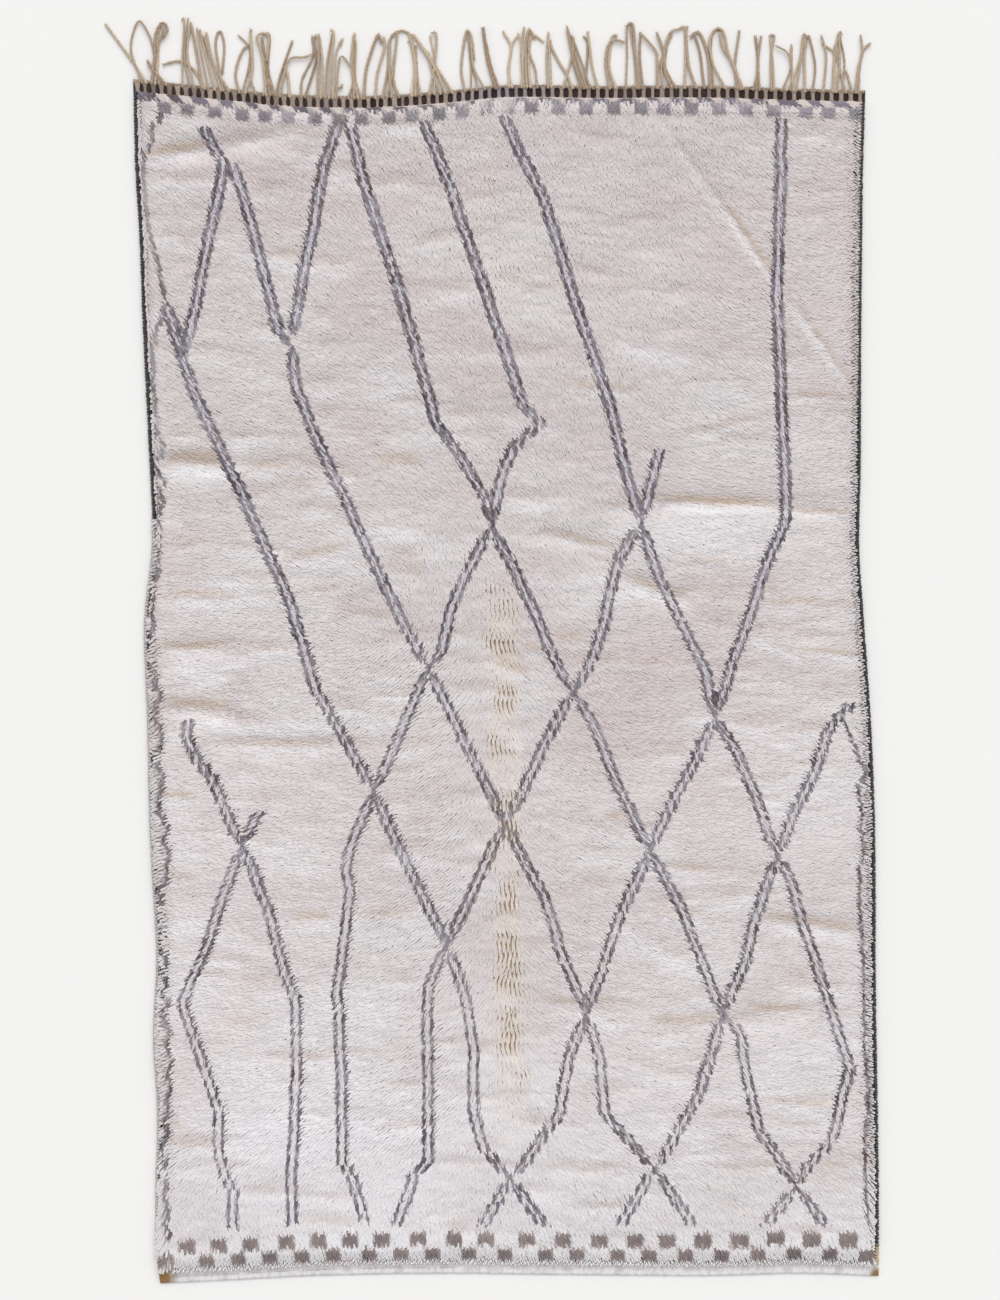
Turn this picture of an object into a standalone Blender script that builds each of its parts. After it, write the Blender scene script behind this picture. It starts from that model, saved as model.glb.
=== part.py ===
"""A hand-knotted Beni Mrirt wool rug, lying flat with its fringe end towards +Y.

The rug is woven 1.60 m wide and 2.62 m long, and lies a little uneven: its long edges wander,
its fringe end sags, and a few soft folds cross the pile. Each piece is first laid out on the
rug as woven ("across" and "along", measured from its middle) and then put where it lies.
Metres, +Z up, underside on z = 0.
"""

import math
from collections import namedtuple

import bmesh
import bpy

# The rug as woven.
RUG_WIDE = 1.600
RUG_LONG = 2.620
SEAM = 0.0005  # clearance between neighbouring pieces, which their flat facets narrow a little

# The pieces.
PILE_HIGH = 0.0255  # top of the pile over the floor
PILE_RIM = 0.0165  # where the pile rolls over at its edges
ROLL_OVER = 0.034  # how far in from the edge the pile is rolled over
SELVEDGE_WIDE = 0.012
SELVEDGE_HIGH = 0.0115
HEADING_LONG = 0.027
HEADING_RIBS = 83
RIB_HIGH = 0.0085
RIB_GAP_HIGH = 0.0050
RIB_STARTS, RIB_ENDS = 0.30, 0.74  # shares of one rib's pitch, from gap to gap
END_BAND_LONG = 0.025
END_BAND_HIGH = 0.0062
BAND_EDGE_HIGH = 0.0042  # the end band's last weft
FRINGE_THICK = 0.0070
FRINGE_ROOT = 0.0060  # the strip along the heading that the strands leave
TIP_SHARE = 0.55  # a clump's width at its tip, as a share of its root

# How unevenly it lies.
SWELL = 0.0012  # height of the long, low waves in the pile
SWELL_LONG = 0.55
SWELL_WIDE = 0.80

# The wool.
IVORY = (0.78, 0.74, 0.70)
FLATWEAVE = (0.72, 0.69, 0.66)
CHARCOAL = (0.07, 0.07, 0.09)
RIB_BROWN = (0.36, 0.29, 0.22)
WARP_TAN = (0.44, 0.35, 0.25)

Side = namedtuple("Side", "along left right")
SIDES = (
    Side(-1.375, -0.722, 0.853),
    Side(-1.230, -0.740, 0.855),
    Side(-1.100, -0.742, 0.855),
    Side(-0.945, -0.738, 0.853),
    Side(-0.770, -0.747, 0.850),
    Side(-0.595, -0.740, 0.848),
    Side(-0.440, -0.749, 0.848),
    Side(-0.285, -0.756, 0.846),
    Side(-0.090, -0.760, 0.838),
    Side(0.130, -0.767, 0.823),
    Side(0.300, -0.750, 0.812),
    Side(0.485, -0.756, 0.815),
    Side(0.770, -0.770, 0.816),
    Side(0.960, -0.777, 0.818),
    Side(1.130, -0.787, 0.820),
    Side(1.310, -0.791, 0.825),
)

End = namedtuple("End", "across plain fringed")
ENDS = (
    End(-0.800, -1.395, 1.262),
    End(-0.630, -1.387, 1.245),
    End(-0.480, -1.379, 1.230),
    End(-0.290, -1.374, 1.225),
    End(-0.120, -1.373, 1.236),
    End(0.020, -1.375, 1.249),
    End(0.220, -1.377, 1.247),
    End(0.440, -1.378, 1.248),
    End(0.620, -1.373, 1.242),
    End(0.800, -1.379, 1.237),
)

# Soft folds in the pile: the two ends of each, how far it bows aside in its middle, how wide it
# is, and how far it sinks (below 0) or rises.
Fold = namedtuple("Fold", "name x0 y0 x1 y1 bow wide rise")
FOLDS = (
    Fold("middle, lower half", 0.045, -1.080, 0.015, 0.170, 0.010, 0.034, -0.0040),
    Fold("middle, upper half", 0.018, 0.700, 0.000, 1.120, 0.000, 0.034, -0.0022),
    Fold("long, right of middle", 0.240, 0.308, 0.800, 0.298, 0.026, 0.028, -0.0050),
    Fold("short, by the first crossing", 0.100, 0.262, 0.290, 0.220, 0.000, 0.026, -0.0034),
    Fold("short, below it", 0.280, 0.160, 0.450, 0.098, 0.000, 0.026, -0.0034),
    Fold("top left corner", -0.770, 1.082, -0.440, 1.140, -0.006, 0.028, -0.0048),
    Fold("left, bright", -0.740, 0.408, -0.560, 0.406, 0.000, 0.030, -0.0044),
    Fold("left, at the middle", -0.740, 0.002, -0.560, 0.010, 0.000, 0.028, -0.0040),
    Fold("left, below the middle", -0.740, -0.128, -0.550, -0.134, 0.004, 0.030, -0.0042),
    Fold("left, long", -0.620, -0.206, -0.350, -0.214, 0.000, 0.030, -0.0032),
    Fold("right, lower", 0.580, -0.592, 0.825, -0.622, 0.000, 0.030, -0.0038),
    Fold("right, lowest", 0.480, -0.812, 0.690, -0.790, 0.000, 0.028, -0.0030),
    Fold("slanting, top right", 0.365, 1.180, 0.805, 0.560, 0.000, 0.018, -0.0020),
)

# The fringe, one row for each clump of strands: where it leaves the heading, where its tip lies,
# and how wide it is at its root.
Clump = namedtuple("Clump", "root tip_x tip_y wide")
CLUMPS = (
    Clump(-0.772, -0.852, 1.386, 0.010),
    Clump(-0.752, -0.774, 1.388, 0.013),
    Clump(-0.720, -0.727, 1.386, 0.020),
    Clump(-0.664, -0.671, 1.394, 0.026),
    Clump(-0.616, -0.635, 1.366, 0.022),
    Clump(-0.588, -0.602, 1.368, 0.012),
    Clump(-0.556, -0.560, 1.360, 0.012),
    Clump(-0.532, -0.532, 1.372, 0.018),
    Clump(-0.500, -0.505, 1.362, 0.020),
    Clump(-0.466, -0.440, 1.348, 0.014),
    Clump(-0.418, -0.386, 1.358, 0.016),
    Clump(-0.374, -0.345, 1.368, 0.030),
    Clump(-0.300, -0.302, 1.366, 0.020),
    Clump(-0.272, -0.258, 1.362, 0.014),
    Clump(-0.226, -0.209, 1.366, 0.016),
    Clump(-0.166, -0.180, 1.360, 0.018),
    Clump(-0.126, -0.122, 1.358, 0.022),
    Clump(-0.062, -0.056, 1.366, 0.016),
    Clump(0.010, -0.021, 1.377, 0.012),
    Clump(0.040, 0.041, 1.364, 0.014),
    Clump(0.074, 0.073, 1.384, 0.020),
    Clump(0.126, 0.127, 1.366, 0.016),
    Clump(0.196, 0.166, 1.384, 0.016),
    Clump(0.230, 0.212, 1.371, 0.016),
    Clump(0.260, 0.278, 1.355, 0.014),
    Clump(0.298, 0.300, 1.378, 0.016),
    Clump(0.326, 0.327, 1.366, 0.016),
    Clump(0.378, 0.397, 1.366, 0.022),
    Clump(0.426, 0.424, 1.375, 0.014),
    Clump(0.462, 0.464, 1.362, 0.016),
    Clump(0.494, 0.504, 1.373, 0.018),
    Clump(0.540, 0.547, 1.366, 0.016),
    Clump(0.584, 0.586, 1.362, 0.014),
    Clump(0.612, 0.624, 1.360, 0.012),
    Clump(0.652, 0.690, 1.362, 0.012),
    Clump(0.706, 0.699, 1.344, 0.012),
    Clump(0.730, 0.727, 1.360, 0.012),
    Clump(0.764, 0.762, 1.362, 0.024),
    Clump(0.804, 0.828, 1.352, 0.016),
)


def read(rows, at, column):
    """A table's value at a place between its rows, on a smooth curve through them."""
    places = [row[0] for row in rows]
    values = [getattr(row, column) for row in rows]
    k = min(max(sum(place <= at for place in places) - 1, 0), len(rows) - 2)
    span = places[k + 1] - places[k]
    t = min(max((at - places[k]) / span, 0.0), 1.0)

    def slope(i):
        low, high = max(i - 1, 0), min(i + 1, len(rows) - 1)
        return (values[high] - values[low]) / (places[high] - places[low]) * span

    start, stop = values[k], values[k + 1]
    rising = start + (stop - start) * t * t * (3 - 2 * t)
    return rising + slope(k) * t * (1 - t) ** 2 - slope(k + 1) * t * t * (1 - t)


def lie(across, along):
    """Where a point of the rug as woven lies on the floor."""
    left, right = read(SIDES, along, "left"), read(SIDES, along, "right")
    plain, fringed = read(ENDS, across, "plain"), read(ENDS, across, "fringed")
    x = left + (right - left) * (across / RUG_WIDE + 0.5)
    y = plain + (fringed - plain) * (along / RUG_LONG + 0.5)
    return x, y


def fold_rise(fold, x, y):
    """How far one fold lifts the pile at a point: a soft bell across it, fading at its ends."""
    run_x, run_y = fold.x1 - fold.x0, fold.y1 - fold.y0
    run = math.hypot(run_x, run_y)
    t = ((x - fold.x0) * run_x + (y - fold.y0) * run_y) / run**2
    if not 0 < t < 1:
        return 0.0
    aside = ((y - fold.y0) * run_x - (x - fold.x0) * run_y) / run
    aside -= fold.bow * math.sin(math.pi * t)
    return fold.rise * math.sin(math.pi * t) ** 0.5 * math.exp(-((aside / fold.wide) ** 2))


def pile_top(across, along):
    """The height of the pile's surface over the floor."""
    x, y = lie(across, along)
    to_side = RUG_WIDE / 2 - SELVEDGE_WIDE - abs(across)
    to_plain = RUG_LONG / 2 - END_BAND_LONG + along
    to_fringed = RUG_LONG / 2 - HEADING_LONG - along
    inward = min(max(min(to_side, to_plain, to_fringed) / ROLL_OVER, 0.0), 1.0)
    rim = (PILE_HIGH - PILE_RIM) * (1 - inward) ** 2
    swell = math.sin(2 * math.pi * y / SWELL_LONG + math.sin(2 * math.pi * x / SWELL_WIDE))
    folds = sum(fold_rise(fold, x, y) for fold in FOLDS)
    return PILE_HIGH - rim + inward * (SWELL * swell + folds)


def wool(name, colour):
    """A piece's own plain wool material."""
    material = bpy.data.materials.new(name + "_wool")
    material.use_nodes = True
    shader = material.node_tree.nodes["Principled BSDF"]
    shader.inputs["Base Color"].default_value = (*colour, 1.0)
    shader.inputs["Roughness"].default_value = 0.95
    shader.inputs["Metallic"].default_value = 0.0
    return material


def steps(low, high, count, rim=()):
    """Evenly spread places from low to high, with closer ones in from both ends."""
    inner_low, inner_high = low + max(rim, default=0.0), high - max(rim, default=0.0)
    even = [inner_low + (inner_high - inner_low) * i / count for i in range(count + 1)]
    near = {low + step for step in (0.0, *rim)} | {high - step for step in (0.0, *rim)}
    return sorted(near.difference((inner_low, inner_high)).union(even))


def cloth(name, acrosses, alongs, top, colour):
    """A piece with a flat underside, from a grid laid on the rug and raised to its top."""
    columns, rows = len(acrosses) - 1, len(alongs) - 1
    shape = bmesh.new()
    bmesh.ops.create_grid(shape, x_segments=columns, y_segments=rows, size=1.0)
    for vertex in shape.verts:
        across = acrosses[round((vertex.co.x + 1) / 2 * columns)]
        along = alongs[round((vertex.co.y + 1) / 2 * rows)]
        vertex.co = (*lie(across, along), top(across, along))
    rim = [edge for edge in shape.edges if edge.is_boundary]
    skirt = bmesh.ops.extrude_edge_only(shape, edges=rim)["geom"]
    for vertex in (part for part in skirt if isinstance(part, bmesh.types.BMVert)):
        vertex.co.z = 0.0
    hem = [edge for edge in shape.edges if edge.is_boundary]
    bmesh.ops.edgeloop_fill(shape, edges=hem)
    bmesh.ops.recalc_face_normals(shape, faces=shape.faces)
    mesh = bpy.data.meshes.new(name)
    shape.to_mesh(mesh)
    shape.free()
    mesh.materials.append(wool(name, colour))
    return bpy.data.objects.new(name, mesh)


def rows_between_bands():
    """Places along the rug from the end band to the heading, the same for field and selvedges."""
    plain = -RUG_LONG / 2 + END_BAND_LONG + SEAM
    fringed = RUG_LONG / 2 - HEADING_LONG - SEAM
    return steps(plain, fringed, 54, (ROLL_OVER / 3, ROLL_OVER))


def field():
    """The knotted pile with its wool ground, one cloth."""
    side = RUG_WIDE / 2 - SELVEDGE_WIDE - SEAM
    acrosses = steps(-side, side, 34, (ROLL_OVER / 3, ROLL_OVER))
    return cloth("pile_field", acrosses, rows_between_bands(), pile_top, IVORY)


def selvedge(name, inner, outer):
    """Dark wool overcast round one long edge: a low round-topped strip."""
    middle, half = (inner + outer) / 2, abs(outer - inner) / 2

    def top(across, along):
        return SELVEDGE_HIGH * (1 - 0.45 * ((across - middle) / half) ** 2)

    acrosses = steps(min(inner, outer), max(inner, outer), 4)
    return cloth(name, acrosses, rows_between_bands(), top, CHARCOAL)


def heading():
    """The ribbed flatwoven band at the fringe end: warp bundles standing up from dark weft."""
    pitch = RUG_WIDE / HEADING_RIBS
    ribs = {}
    for k in range(HEADING_RIBS):
        left = -RUG_WIDE / 2 + k * pitch
        ribs[left] = RIB_GAP_HIGH
        ribs |= {left + RIB_STARTS * pitch: RIB_HIGH, left + RIB_ENDS * pitch: RIB_HIGH}
    ribs[RUG_WIDE / 2] = RIB_GAP_HIGH
    alongs = [RUG_LONG / 2 - HEADING_LONG, RUG_LONG / 2]

    def top(across, along):
        return ribs[across]

    return cloth("heading_band", sorted(ribs), alongs, top, RIB_BROWN)


def end_band():
    """The fine flatwoven band at the plain end."""
    alongs = steps(-RUG_LONG / 2, -RUG_LONG / 2 + END_BAND_LONG, 2)

    def top(across, along):
        return BAND_EDGE_HIGH if along == alongs[0] else END_BAND_HIGH

    return cloth("end_band", steps(-RUG_WIDE / 2, RUG_WIDE / 2, 34), alongs, top, FLATWEAVE)


def fringe():
    """The warp ends beyond the heading, one comb: a root strip with a tooth for each clump."""

    def heading_edge(x):
        left, right = read(SIDES, RUG_LONG / 2, "left"), read(SIDES, RUG_LONG / 2, "right")
        across = ((x - left) / (right - left) - 0.5) * RUG_WIDE
        return lie(across, RUG_LONG / 2)[1] + SEAM

    outline = []
    for clump in CLUMPS:
        root_y = heading_edge(clump.root) + FRINGE_ROOT
        root_half = clump.wide / 2
        tip_half = root_half * TIP_SHARE
        outline += [(clump.root - root_half, root_y), (clump.tip_x - tip_half, clump.tip_y)]
        outline += [(clump.tip_x + tip_half, clump.tip_y), (clump.root + root_half, root_y)]
    left, right = CLUMPS[0].root - CLUMPS[0].wide / 2, CLUMPS[-1].root + CLUMPS[-1].wide / 2
    base = steps(left, right, 72)
    outline += [(x, heading_edge(x)) for x in reversed(base)]

    curve = bpy.data.curves.new("fringe", "CURVE")
    curve.dimensions = "2D"
    curve.fill_mode = "BOTH"
    curve.extrude = FRINGE_THICK / 2
    spline = curve.splines.new("POLY")
    spline.points.add(len(outline) - 1)
    for point, (x, y) in zip(spline.points, outline):
        point.co = (x, y, 0.0, 1.0)
    spline.use_cyclic_u = True
    curve.materials.append(wool("fringe", WARP_TAN))
    comb = bpy.data.objects.new("fringe", curve)
    comb.location.z = FRINGE_THICK / 2
    return comb


def main():
    for old in list(bpy.data.objects):
        bpy.data.objects.remove(old)
    rug = bpy.data.collections.new("beni_mrirt_rug")
    bpy.context.scene.collection.children.link(rug)
    edge, inner = RUG_WIDE / 2, RUG_WIDE / 2 - SELVEDGE_WIDE
    pieces = (
        field(),
        heading(),
        end_band(),
        selvedge("selvedge_left", -inner, -edge),
        selvedge("selvedge_right", inner, edge),
        fringe(),
    )
    for piece in pieces:
        rug.objects.link(piece)


main()
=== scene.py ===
import math
from collections import namedtuple

import bpy
import numpy as np
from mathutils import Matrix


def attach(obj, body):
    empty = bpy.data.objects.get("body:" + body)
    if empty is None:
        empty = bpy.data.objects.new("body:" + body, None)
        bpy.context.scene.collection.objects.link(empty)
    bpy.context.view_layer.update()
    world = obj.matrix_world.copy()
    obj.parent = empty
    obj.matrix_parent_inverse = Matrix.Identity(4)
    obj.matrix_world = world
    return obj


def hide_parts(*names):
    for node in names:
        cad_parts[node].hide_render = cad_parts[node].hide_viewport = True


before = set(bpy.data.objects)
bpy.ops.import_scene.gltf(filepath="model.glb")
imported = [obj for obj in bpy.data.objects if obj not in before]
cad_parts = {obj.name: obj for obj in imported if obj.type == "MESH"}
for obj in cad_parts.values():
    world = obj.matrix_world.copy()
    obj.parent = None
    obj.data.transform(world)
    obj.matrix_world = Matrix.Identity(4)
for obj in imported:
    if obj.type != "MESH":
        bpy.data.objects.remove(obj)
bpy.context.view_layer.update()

CM = 0.01

# ---------------------------------------------------------------- the rug as woven
RUG_WIDE = 1.600
RUG_LONG = 2.620
SEAM = 0.0005  # between the field's ground and what borders it
UNDERSIDE = 0.0004  # how far over the floor the flat undersides lie
PILE_HIGH = 0.0255
PILE_RIM = 0.0165  # the pile's height at its very edge
ROLL_OVER = 0.034  # how far in from the edge the pile reaches its full height
SELVEDGE_WIDE = 0.012
SELVEDGE_HIGH = 0.0115
SELVEDGE_YARN = 0.0030
SELVEDGE_PITCH = 0.0068  # from one wrap to the next
HEADING_LONG = 0.027
HEADING_RIBS = 83
HEADING_DRAWN = 0.040  # how far the middle ribs are drawn to the left
RIB_STEPS = (0.0, 0.08, 0.17, 0.28, 0.48, 0.62, 0.74, 0.87, 1.0)  # along a rib, outwards
RIB_SIDES = 8
RIB_TOP = 0.0078
CORD_RINGS = 420
CORD_TWIST = 0.0165  # along the cord for one turn of its plies
END_BAND_LONG = 0.025
FIELD_HALF = RUG_WIDE / 2 - SELVEDGE_WIDE
FIELD_LOW, FIELD_HIGH = -RUG_LONG / 2 + END_BAND_LONG, RUG_LONG / 2 - HEADING_LONG
SWELL = 0.0012  # the pile's low broad waves
SWELL_LONG = 0.55
SWELL_WIDE = 0.80

KNOT_WIDE = 0.0100  # one knot's share of the weft
ROW_LONG = 0.0222  # from one row of knots to the next
STRANDS = 7  # the bundles of yarn that a knot's two ends open into
STRAND_LONG = 0.032
STRAND_WIDE = 0.0056
STRAND_ASTRAY = 0.0012  # how far a strand stands from its even place
SHOWN_AT = 0.85  # the share of a strand's length where it shows most
ROOT_IN = 0.002  # how far inside the field's edge the outermost roots are
BEND_AT = 0.55  # the share of a strand's length where it stops rising
TIP_NARROW = 0.62  # a strand's width at its upper end, as a share of its width midway
ROUNDNESS = 0.30  # how round a strand shades from side to side
RELIEF = 1.3  # how strongly the pile's slopes shade
SLOPE = 0.15  # the pile is too soft to shade as any steeper than this
PILE_BANDS = 5
GROUND_HIGH = 0.0190  # the matted lower wool, under the strands' upper ends
GROUND_RIM = 0.0085

Side = namedtuple("Side", "along left right")
SIDES = (
    Side(-1.375, -0.722, 0.853),
    Side(-1.230, -0.740, 0.855),
    Side(-1.100, -0.742, 0.855),
    Side(-0.945, -0.738, 0.853),
    Side(-0.770, -0.747, 0.850),
    Side(-0.595, -0.740, 0.848),
    Side(-0.440, -0.749, 0.848),
    Side(-0.285, -0.756, 0.846),
    Side(-0.090, -0.760, 0.838),
    Side(0.130, -0.767, 0.823),
    Side(0.300, -0.750, 0.812),
    Side(0.485, -0.756, 0.815),
    Side(0.770, -0.770, 0.816),
    Side(0.960, -0.777, 0.818),
    Side(1.130, -0.787, 0.820),
    Side(1.310, -0.791, 0.825),
)

End = namedtuple("End", "across plain fringed")
ENDS = (
    End(-0.800, -1.395, 1.262),
    End(-0.630, -1.387, 1.245),
    End(-0.480, -1.379, 1.230),
    End(-0.290, -1.374, 1.225),
    End(-0.120, -1.373, 1.236),
    End(0.020, -1.375, 1.249),
    End(0.220, -1.377, 1.247),
    End(0.440, -1.378, 1.248),
    End(0.620, -1.373, 1.242),
    End(0.800, -1.379, 1.237),
)

# Soft folds in the pile: the ends of each, its bow, its width, and its rise (below 0, its sink).
Fold = namedtuple("Fold", "name x0 y0 x1 y1 bow wide rise")
FOLDS = (
    Fold("middle, lower half", 0.045, -1.080, 0.015, 0.170, 0.010, 0.034, -0.0040),
    Fold("middle, upper half", 0.018, 0.700, 0.000, 1.120, 0.000, 0.034, -0.0022),
    Fold("long, right of middle", 0.240, 0.308, 0.800, 0.298, 0.026, 0.028, -0.0050),
    Fold("short, by the first crossing", 0.100, 0.262, 0.290, 0.220, 0.000, 0.026, -0.0034),
    Fold("short, below it", 0.280, 0.160, 0.450, 0.098, 0.000, 0.026, -0.0034),
    Fold("top left corner", -0.770, 1.082, -0.440, 1.140, -0.006, 0.028, -0.0048),
    Fold("left, bright", -0.740, 0.408, -0.560, 0.406, 0.000, 0.030, -0.0044),
    Fold("left, at the middle", -0.740, 0.002, -0.560, 0.010, 0.000, 0.028, -0.0040),
    Fold("left, below the middle", -0.740, -0.128, -0.550, -0.134, 0.004, 0.030, -0.0042),
    Fold("left, long", -0.620, -0.206, -0.350, -0.214, 0.000, 0.030, -0.0032),
    Fold("right, lower", 0.580, -0.592, 0.825, -0.622, 0.000, 0.030, -0.0038),
    Fold("right, lowest", 0.480, -0.812, 0.690, -0.790, 0.000, 0.028, -0.0030),
    Fold("slanting, top right", 0.365, 1.180, 0.805, 0.560, 0.000, 0.018, -0.0020),
)

# Where the wool is painted with light and shade at a small crease: tan as painted shade above it and
# bright as a painted highlight below it.
# From one end to the other, how tall it is, how tan its upper lip of painted shade and how lit its
# lower lip of painted highlight.
Streak = namedtuple("Streak", "x0 y0 x1 y1 tall tan lit")
STREAKS = (
    Streak(-0.765, 1.082, -0.610, 1.112, 0.020, 1.00, 0.80),
    Streak(-0.620, 1.112, -0.420, 1.145, 0.020, 0.25, 0.50),
    Streak(-0.730, 0.925, -0.640, 0.875, 0.014, 0.25, 0.45),
    Streak(-0.720, 0.412, -0.565, 0.410, 0.036, 0.90, 0.80),
    Streak(-0.260, 0.415, -0.150, 0.412, 0.024, 0.70, 0.20),
    Streak(-0.300, 0.455, -0.230, 0.452, 0.016, 0.30, 0.00),
    Streak(-0.550, 0.405, -0.440, 0.395, 0.022, 0.30, 0.15),
    Streak(-0.480, 0.370, -0.380, 0.355, 0.018, 0.30, 0.20),
    Streak(-0.710, 0.235, -0.600, 0.238, 0.018, 0.35, 0.20),
    Streak(-0.460, 0.190, -0.310, 0.222, 0.022, 0.65, 0.45),
    Streak(-0.410, 0.132, -0.320, 0.134, 0.016, 0.45, 0.30),
    Streak(-0.730, 0.112, -0.560, 0.118, 0.020, 0.60, 0.50),
    Streak(-0.240, 0.168, -0.140, 0.172, 0.028, 0.50, 0.20),
    Streak(-0.340, 0.085, -0.190, 0.060, 0.022, 0.45, 0.25),
    Streak(-0.745, 0.002, -0.580, 0.010, 0.016, 0.95, 0.55),
    Streak(-0.720, -0.035, -0.560, -0.035, 0.040, 0.00, 0.75),
    Streak(-0.730, -0.128, -0.555, -0.134, 0.030, 0.85, 0.60),
    Streak(-0.610, -0.206, -0.350, -0.214, 0.018, 0.65, 0.45),
    Streak(-0.480, -0.198, -0.370, -0.206, 0.012, 0.45, 0.10),
    Streak(-0.735, -0.322, -0.650, -0.324, 0.016, 0.75, 0.50),
    Streak(-0.725, -0.500, -0.650, -0.502, 0.014, 0.55, 0.30),
    Streak(-0.445, -0.590, -0.350, -0.586, 0.020, 0.60, 0.25),
    Streak(-0.280, -0.592, -0.170, -0.582, 0.028, 0.50, 0.15),
    Streak(-0.700, -0.680, -0.480, -0.684, 0.014, 0.40, 0.50),
    Streak(-0.600, -0.822, -0.500, -0.818, 0.016, 0.40, 0.15),
    Streak(-0.735, -1.045, -0.670, -1.050, 0.018, 0.40, 0.20),
    Streak(-0.715, -1.088, -0.610, -1.092, 0.018, 0.60, 0.25),
    Streak(-0.060, -1.096, 0.040, -1.092, 0.018, 0.35, 0.10),
    Streak(0.065, 0.000, 0.120, -0.004, 0.014, 0.60, 0.60),
    Streak(0.010, -0.030, 0.080, -0.058, 0.020, 0.90, 0.70),
    Streak(0.130, 0.022, 0.210, 0.026, 0.020, 0.55, 0.20),
    Streak(0.040, -0.195, 0.075, -0.205, 0.020, 0.00, 0.85),
    Streak(0.255, 0.316, 0.370, 0.330, 0.012, 0.70, 0.40),
    Streak(0.350, 0.325, 0.640, 0.318, 0.020, 1.15, 0.95),
    Streak(0.600, 0.312, 0.810, 0.296, 0.012, 0.65, 0.50),
    Streak(0.360, 0.290, 0.620, 0.262, 0.055, 0.00, 0.60),
    Streak(0.100, 0.262, 0.290, 0.220, 0.014, 0.80, 0.45),
    Streak(0.280, 0.160, 0.450, 0.098, 0.018, 0.80, 0.70),
    Streak(0.570, 0.102, 0.810, 0.096, 0.020, 0.50, 0.30),
    Streak(0.670, 0.000, 0.825, -0.012, 0.013, 0.75, 0.50),
    Streak(0.555, 0.035, 0.700, -0.020, 0.014, 0.05, 0.70),
    Streak(0.250, -0.028, 0.500, -0.030, 0.012, 0.40, 0.20),
    Streak(0.420, 0.188, 0.520, 0.192, 0.014, 0.35, 0.25),
    Streak(0.570, 0.135, 0.640, 0.130, 0.016, 0.45, 0.20),
    Streak(0.400, -0.480, 0.490, -0.484, 0.014, 0.60, 0.30),
    Streak(0.580, -0.340, 0.720, -0.300, 0.012, 0.15, 0.60),
    Streak(0.250, -0.375, 0.320, -0.378, 0.022, 0.55, 0.10),
    Streak(0.350, -0.592, 0.470, -0.580, 0.022, 0.55, 0.40),
    Streak(0.270, -0.600, 0.450, -0.690, 0.022, 0.05, 0.70),
    Streak(0.580, -0.592, 0.825, -0.622, 0.022, 0.80, 0.75),
    Streak(0.600, -0.735, 0.800, -0.745, 0.014, 0.10, 0.60),
    Streak(0.560, -0.790, 0.695, -0.792, 0.018, 0.85, 0.40),
    Streak(0.340, -0.822, 0.500, -0.818, 0.022, 0.70, 0.35),
    Streak(0.590, -0.998, 0.760, -1.004, 0.018, 0.65, 0.45),
    Streak(0.560, -1.135, 0.640, -1.136, 0.014, 0.50, 0.35),
    Streak(0.720, -1.135, 0.800, -1.136, 0.014, 0.50, 0.30),
    Streak(0.090, -0.778, 0.270, -0.774, 0.016, 0.50, 0.20),
    Streak(0.430, -1.060, 0.490, -1.090, 0.018, 0.00, 0.55),
    Streak(0.365, 1.180, 0.520, 0.960, 0.011, 0.35, 0.30),
    Streak(0.490, 1.005, 0.640, 0.795, 0.012, 0.80, 0.75),
    Streak(0.660, 0.770, 0.790, 0.585, 0.012, 0.55, 0.70),
    Streak(0.030, 0.795, 0.370, 0.790, 0.016, 0.35, 0.15),
    Streak(0.140, 0.590, 0.360, 0.555, 0.018, 0.45, 0.30),
    Streak(0.400, 0.465, 0.630, 0.520, 0.016, 0.50, 0.25),
    Streak(0.640, 0.560, 0.810, 0.555, 0.014, 0.60, 0.25),
    Streak(0.250, 0.675, 0.450, 0.660, 0.036, 0.00, 0.70),
    Streak(0.020, 0.510, 0.170, 0.500, 0.030, 0.10, 0.45),
)

# Broad soft patches where the wool is whiter, or pinker.
Patch = namedtuple("Patch", "x y wide tall white pink")
PATCHES = (
    Patch(-0.500, -1.080, 0.300, 0.180, 0.40, 0.0),
    Patch(-0.200, -1.180, 0.250, 0.120, 0.45, 0.0),
    Patch(0.080, -0.620, 0.160, 0.160, -0.25, 0.3),
    Patch(0.240, -0.110, 0.120, 0.140, -0.20, 0.8),
    Patch(0.620, -0.700, 0.150, 0.120, -0.25, 0.0),
    Patch(-0.540, 0.640, 0.140, 0.180, 0.15, -0.6),
    Patch(0.250, 1.040, 0.110, 0.060, 0.30, -0.6),
    Patch(0.040, 0.860, 0.090, 0.120, 0.25, -0.5),
    Patch(0.520, 0.800, 0.130, 0.090, 0.00, 1.0),
    Patch(0.740, 1.020, 0.080, 0.140, -0.10, 0.9),
    Patch(-0.250, 0.830, 0.120, 0.170, 0.00, 0.7),
    Patch(-0.560, 0.960, 0.110, 0.120, 0.00, 0.6),
    Patch(0.420, 0.560, 0.200, 0.080, 0.25, -0.3),
    Patch(0.500, 0.260, 0.200, 0.060, 0.25, -0.3),
    Patch(-0.420, 0.060, 0.200, 0.120, 0.10, -0.3),
    Patch(-0.660, -0.620, 0.090, 0.200, 0.30, 0.0),
    Patch(0.480, 0.020, 0.200, 0.100, -0.05, 0.5),
    Patch(0.160, -0.980, 0.200, 0.160, 0.05, 0.0),
)

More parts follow.
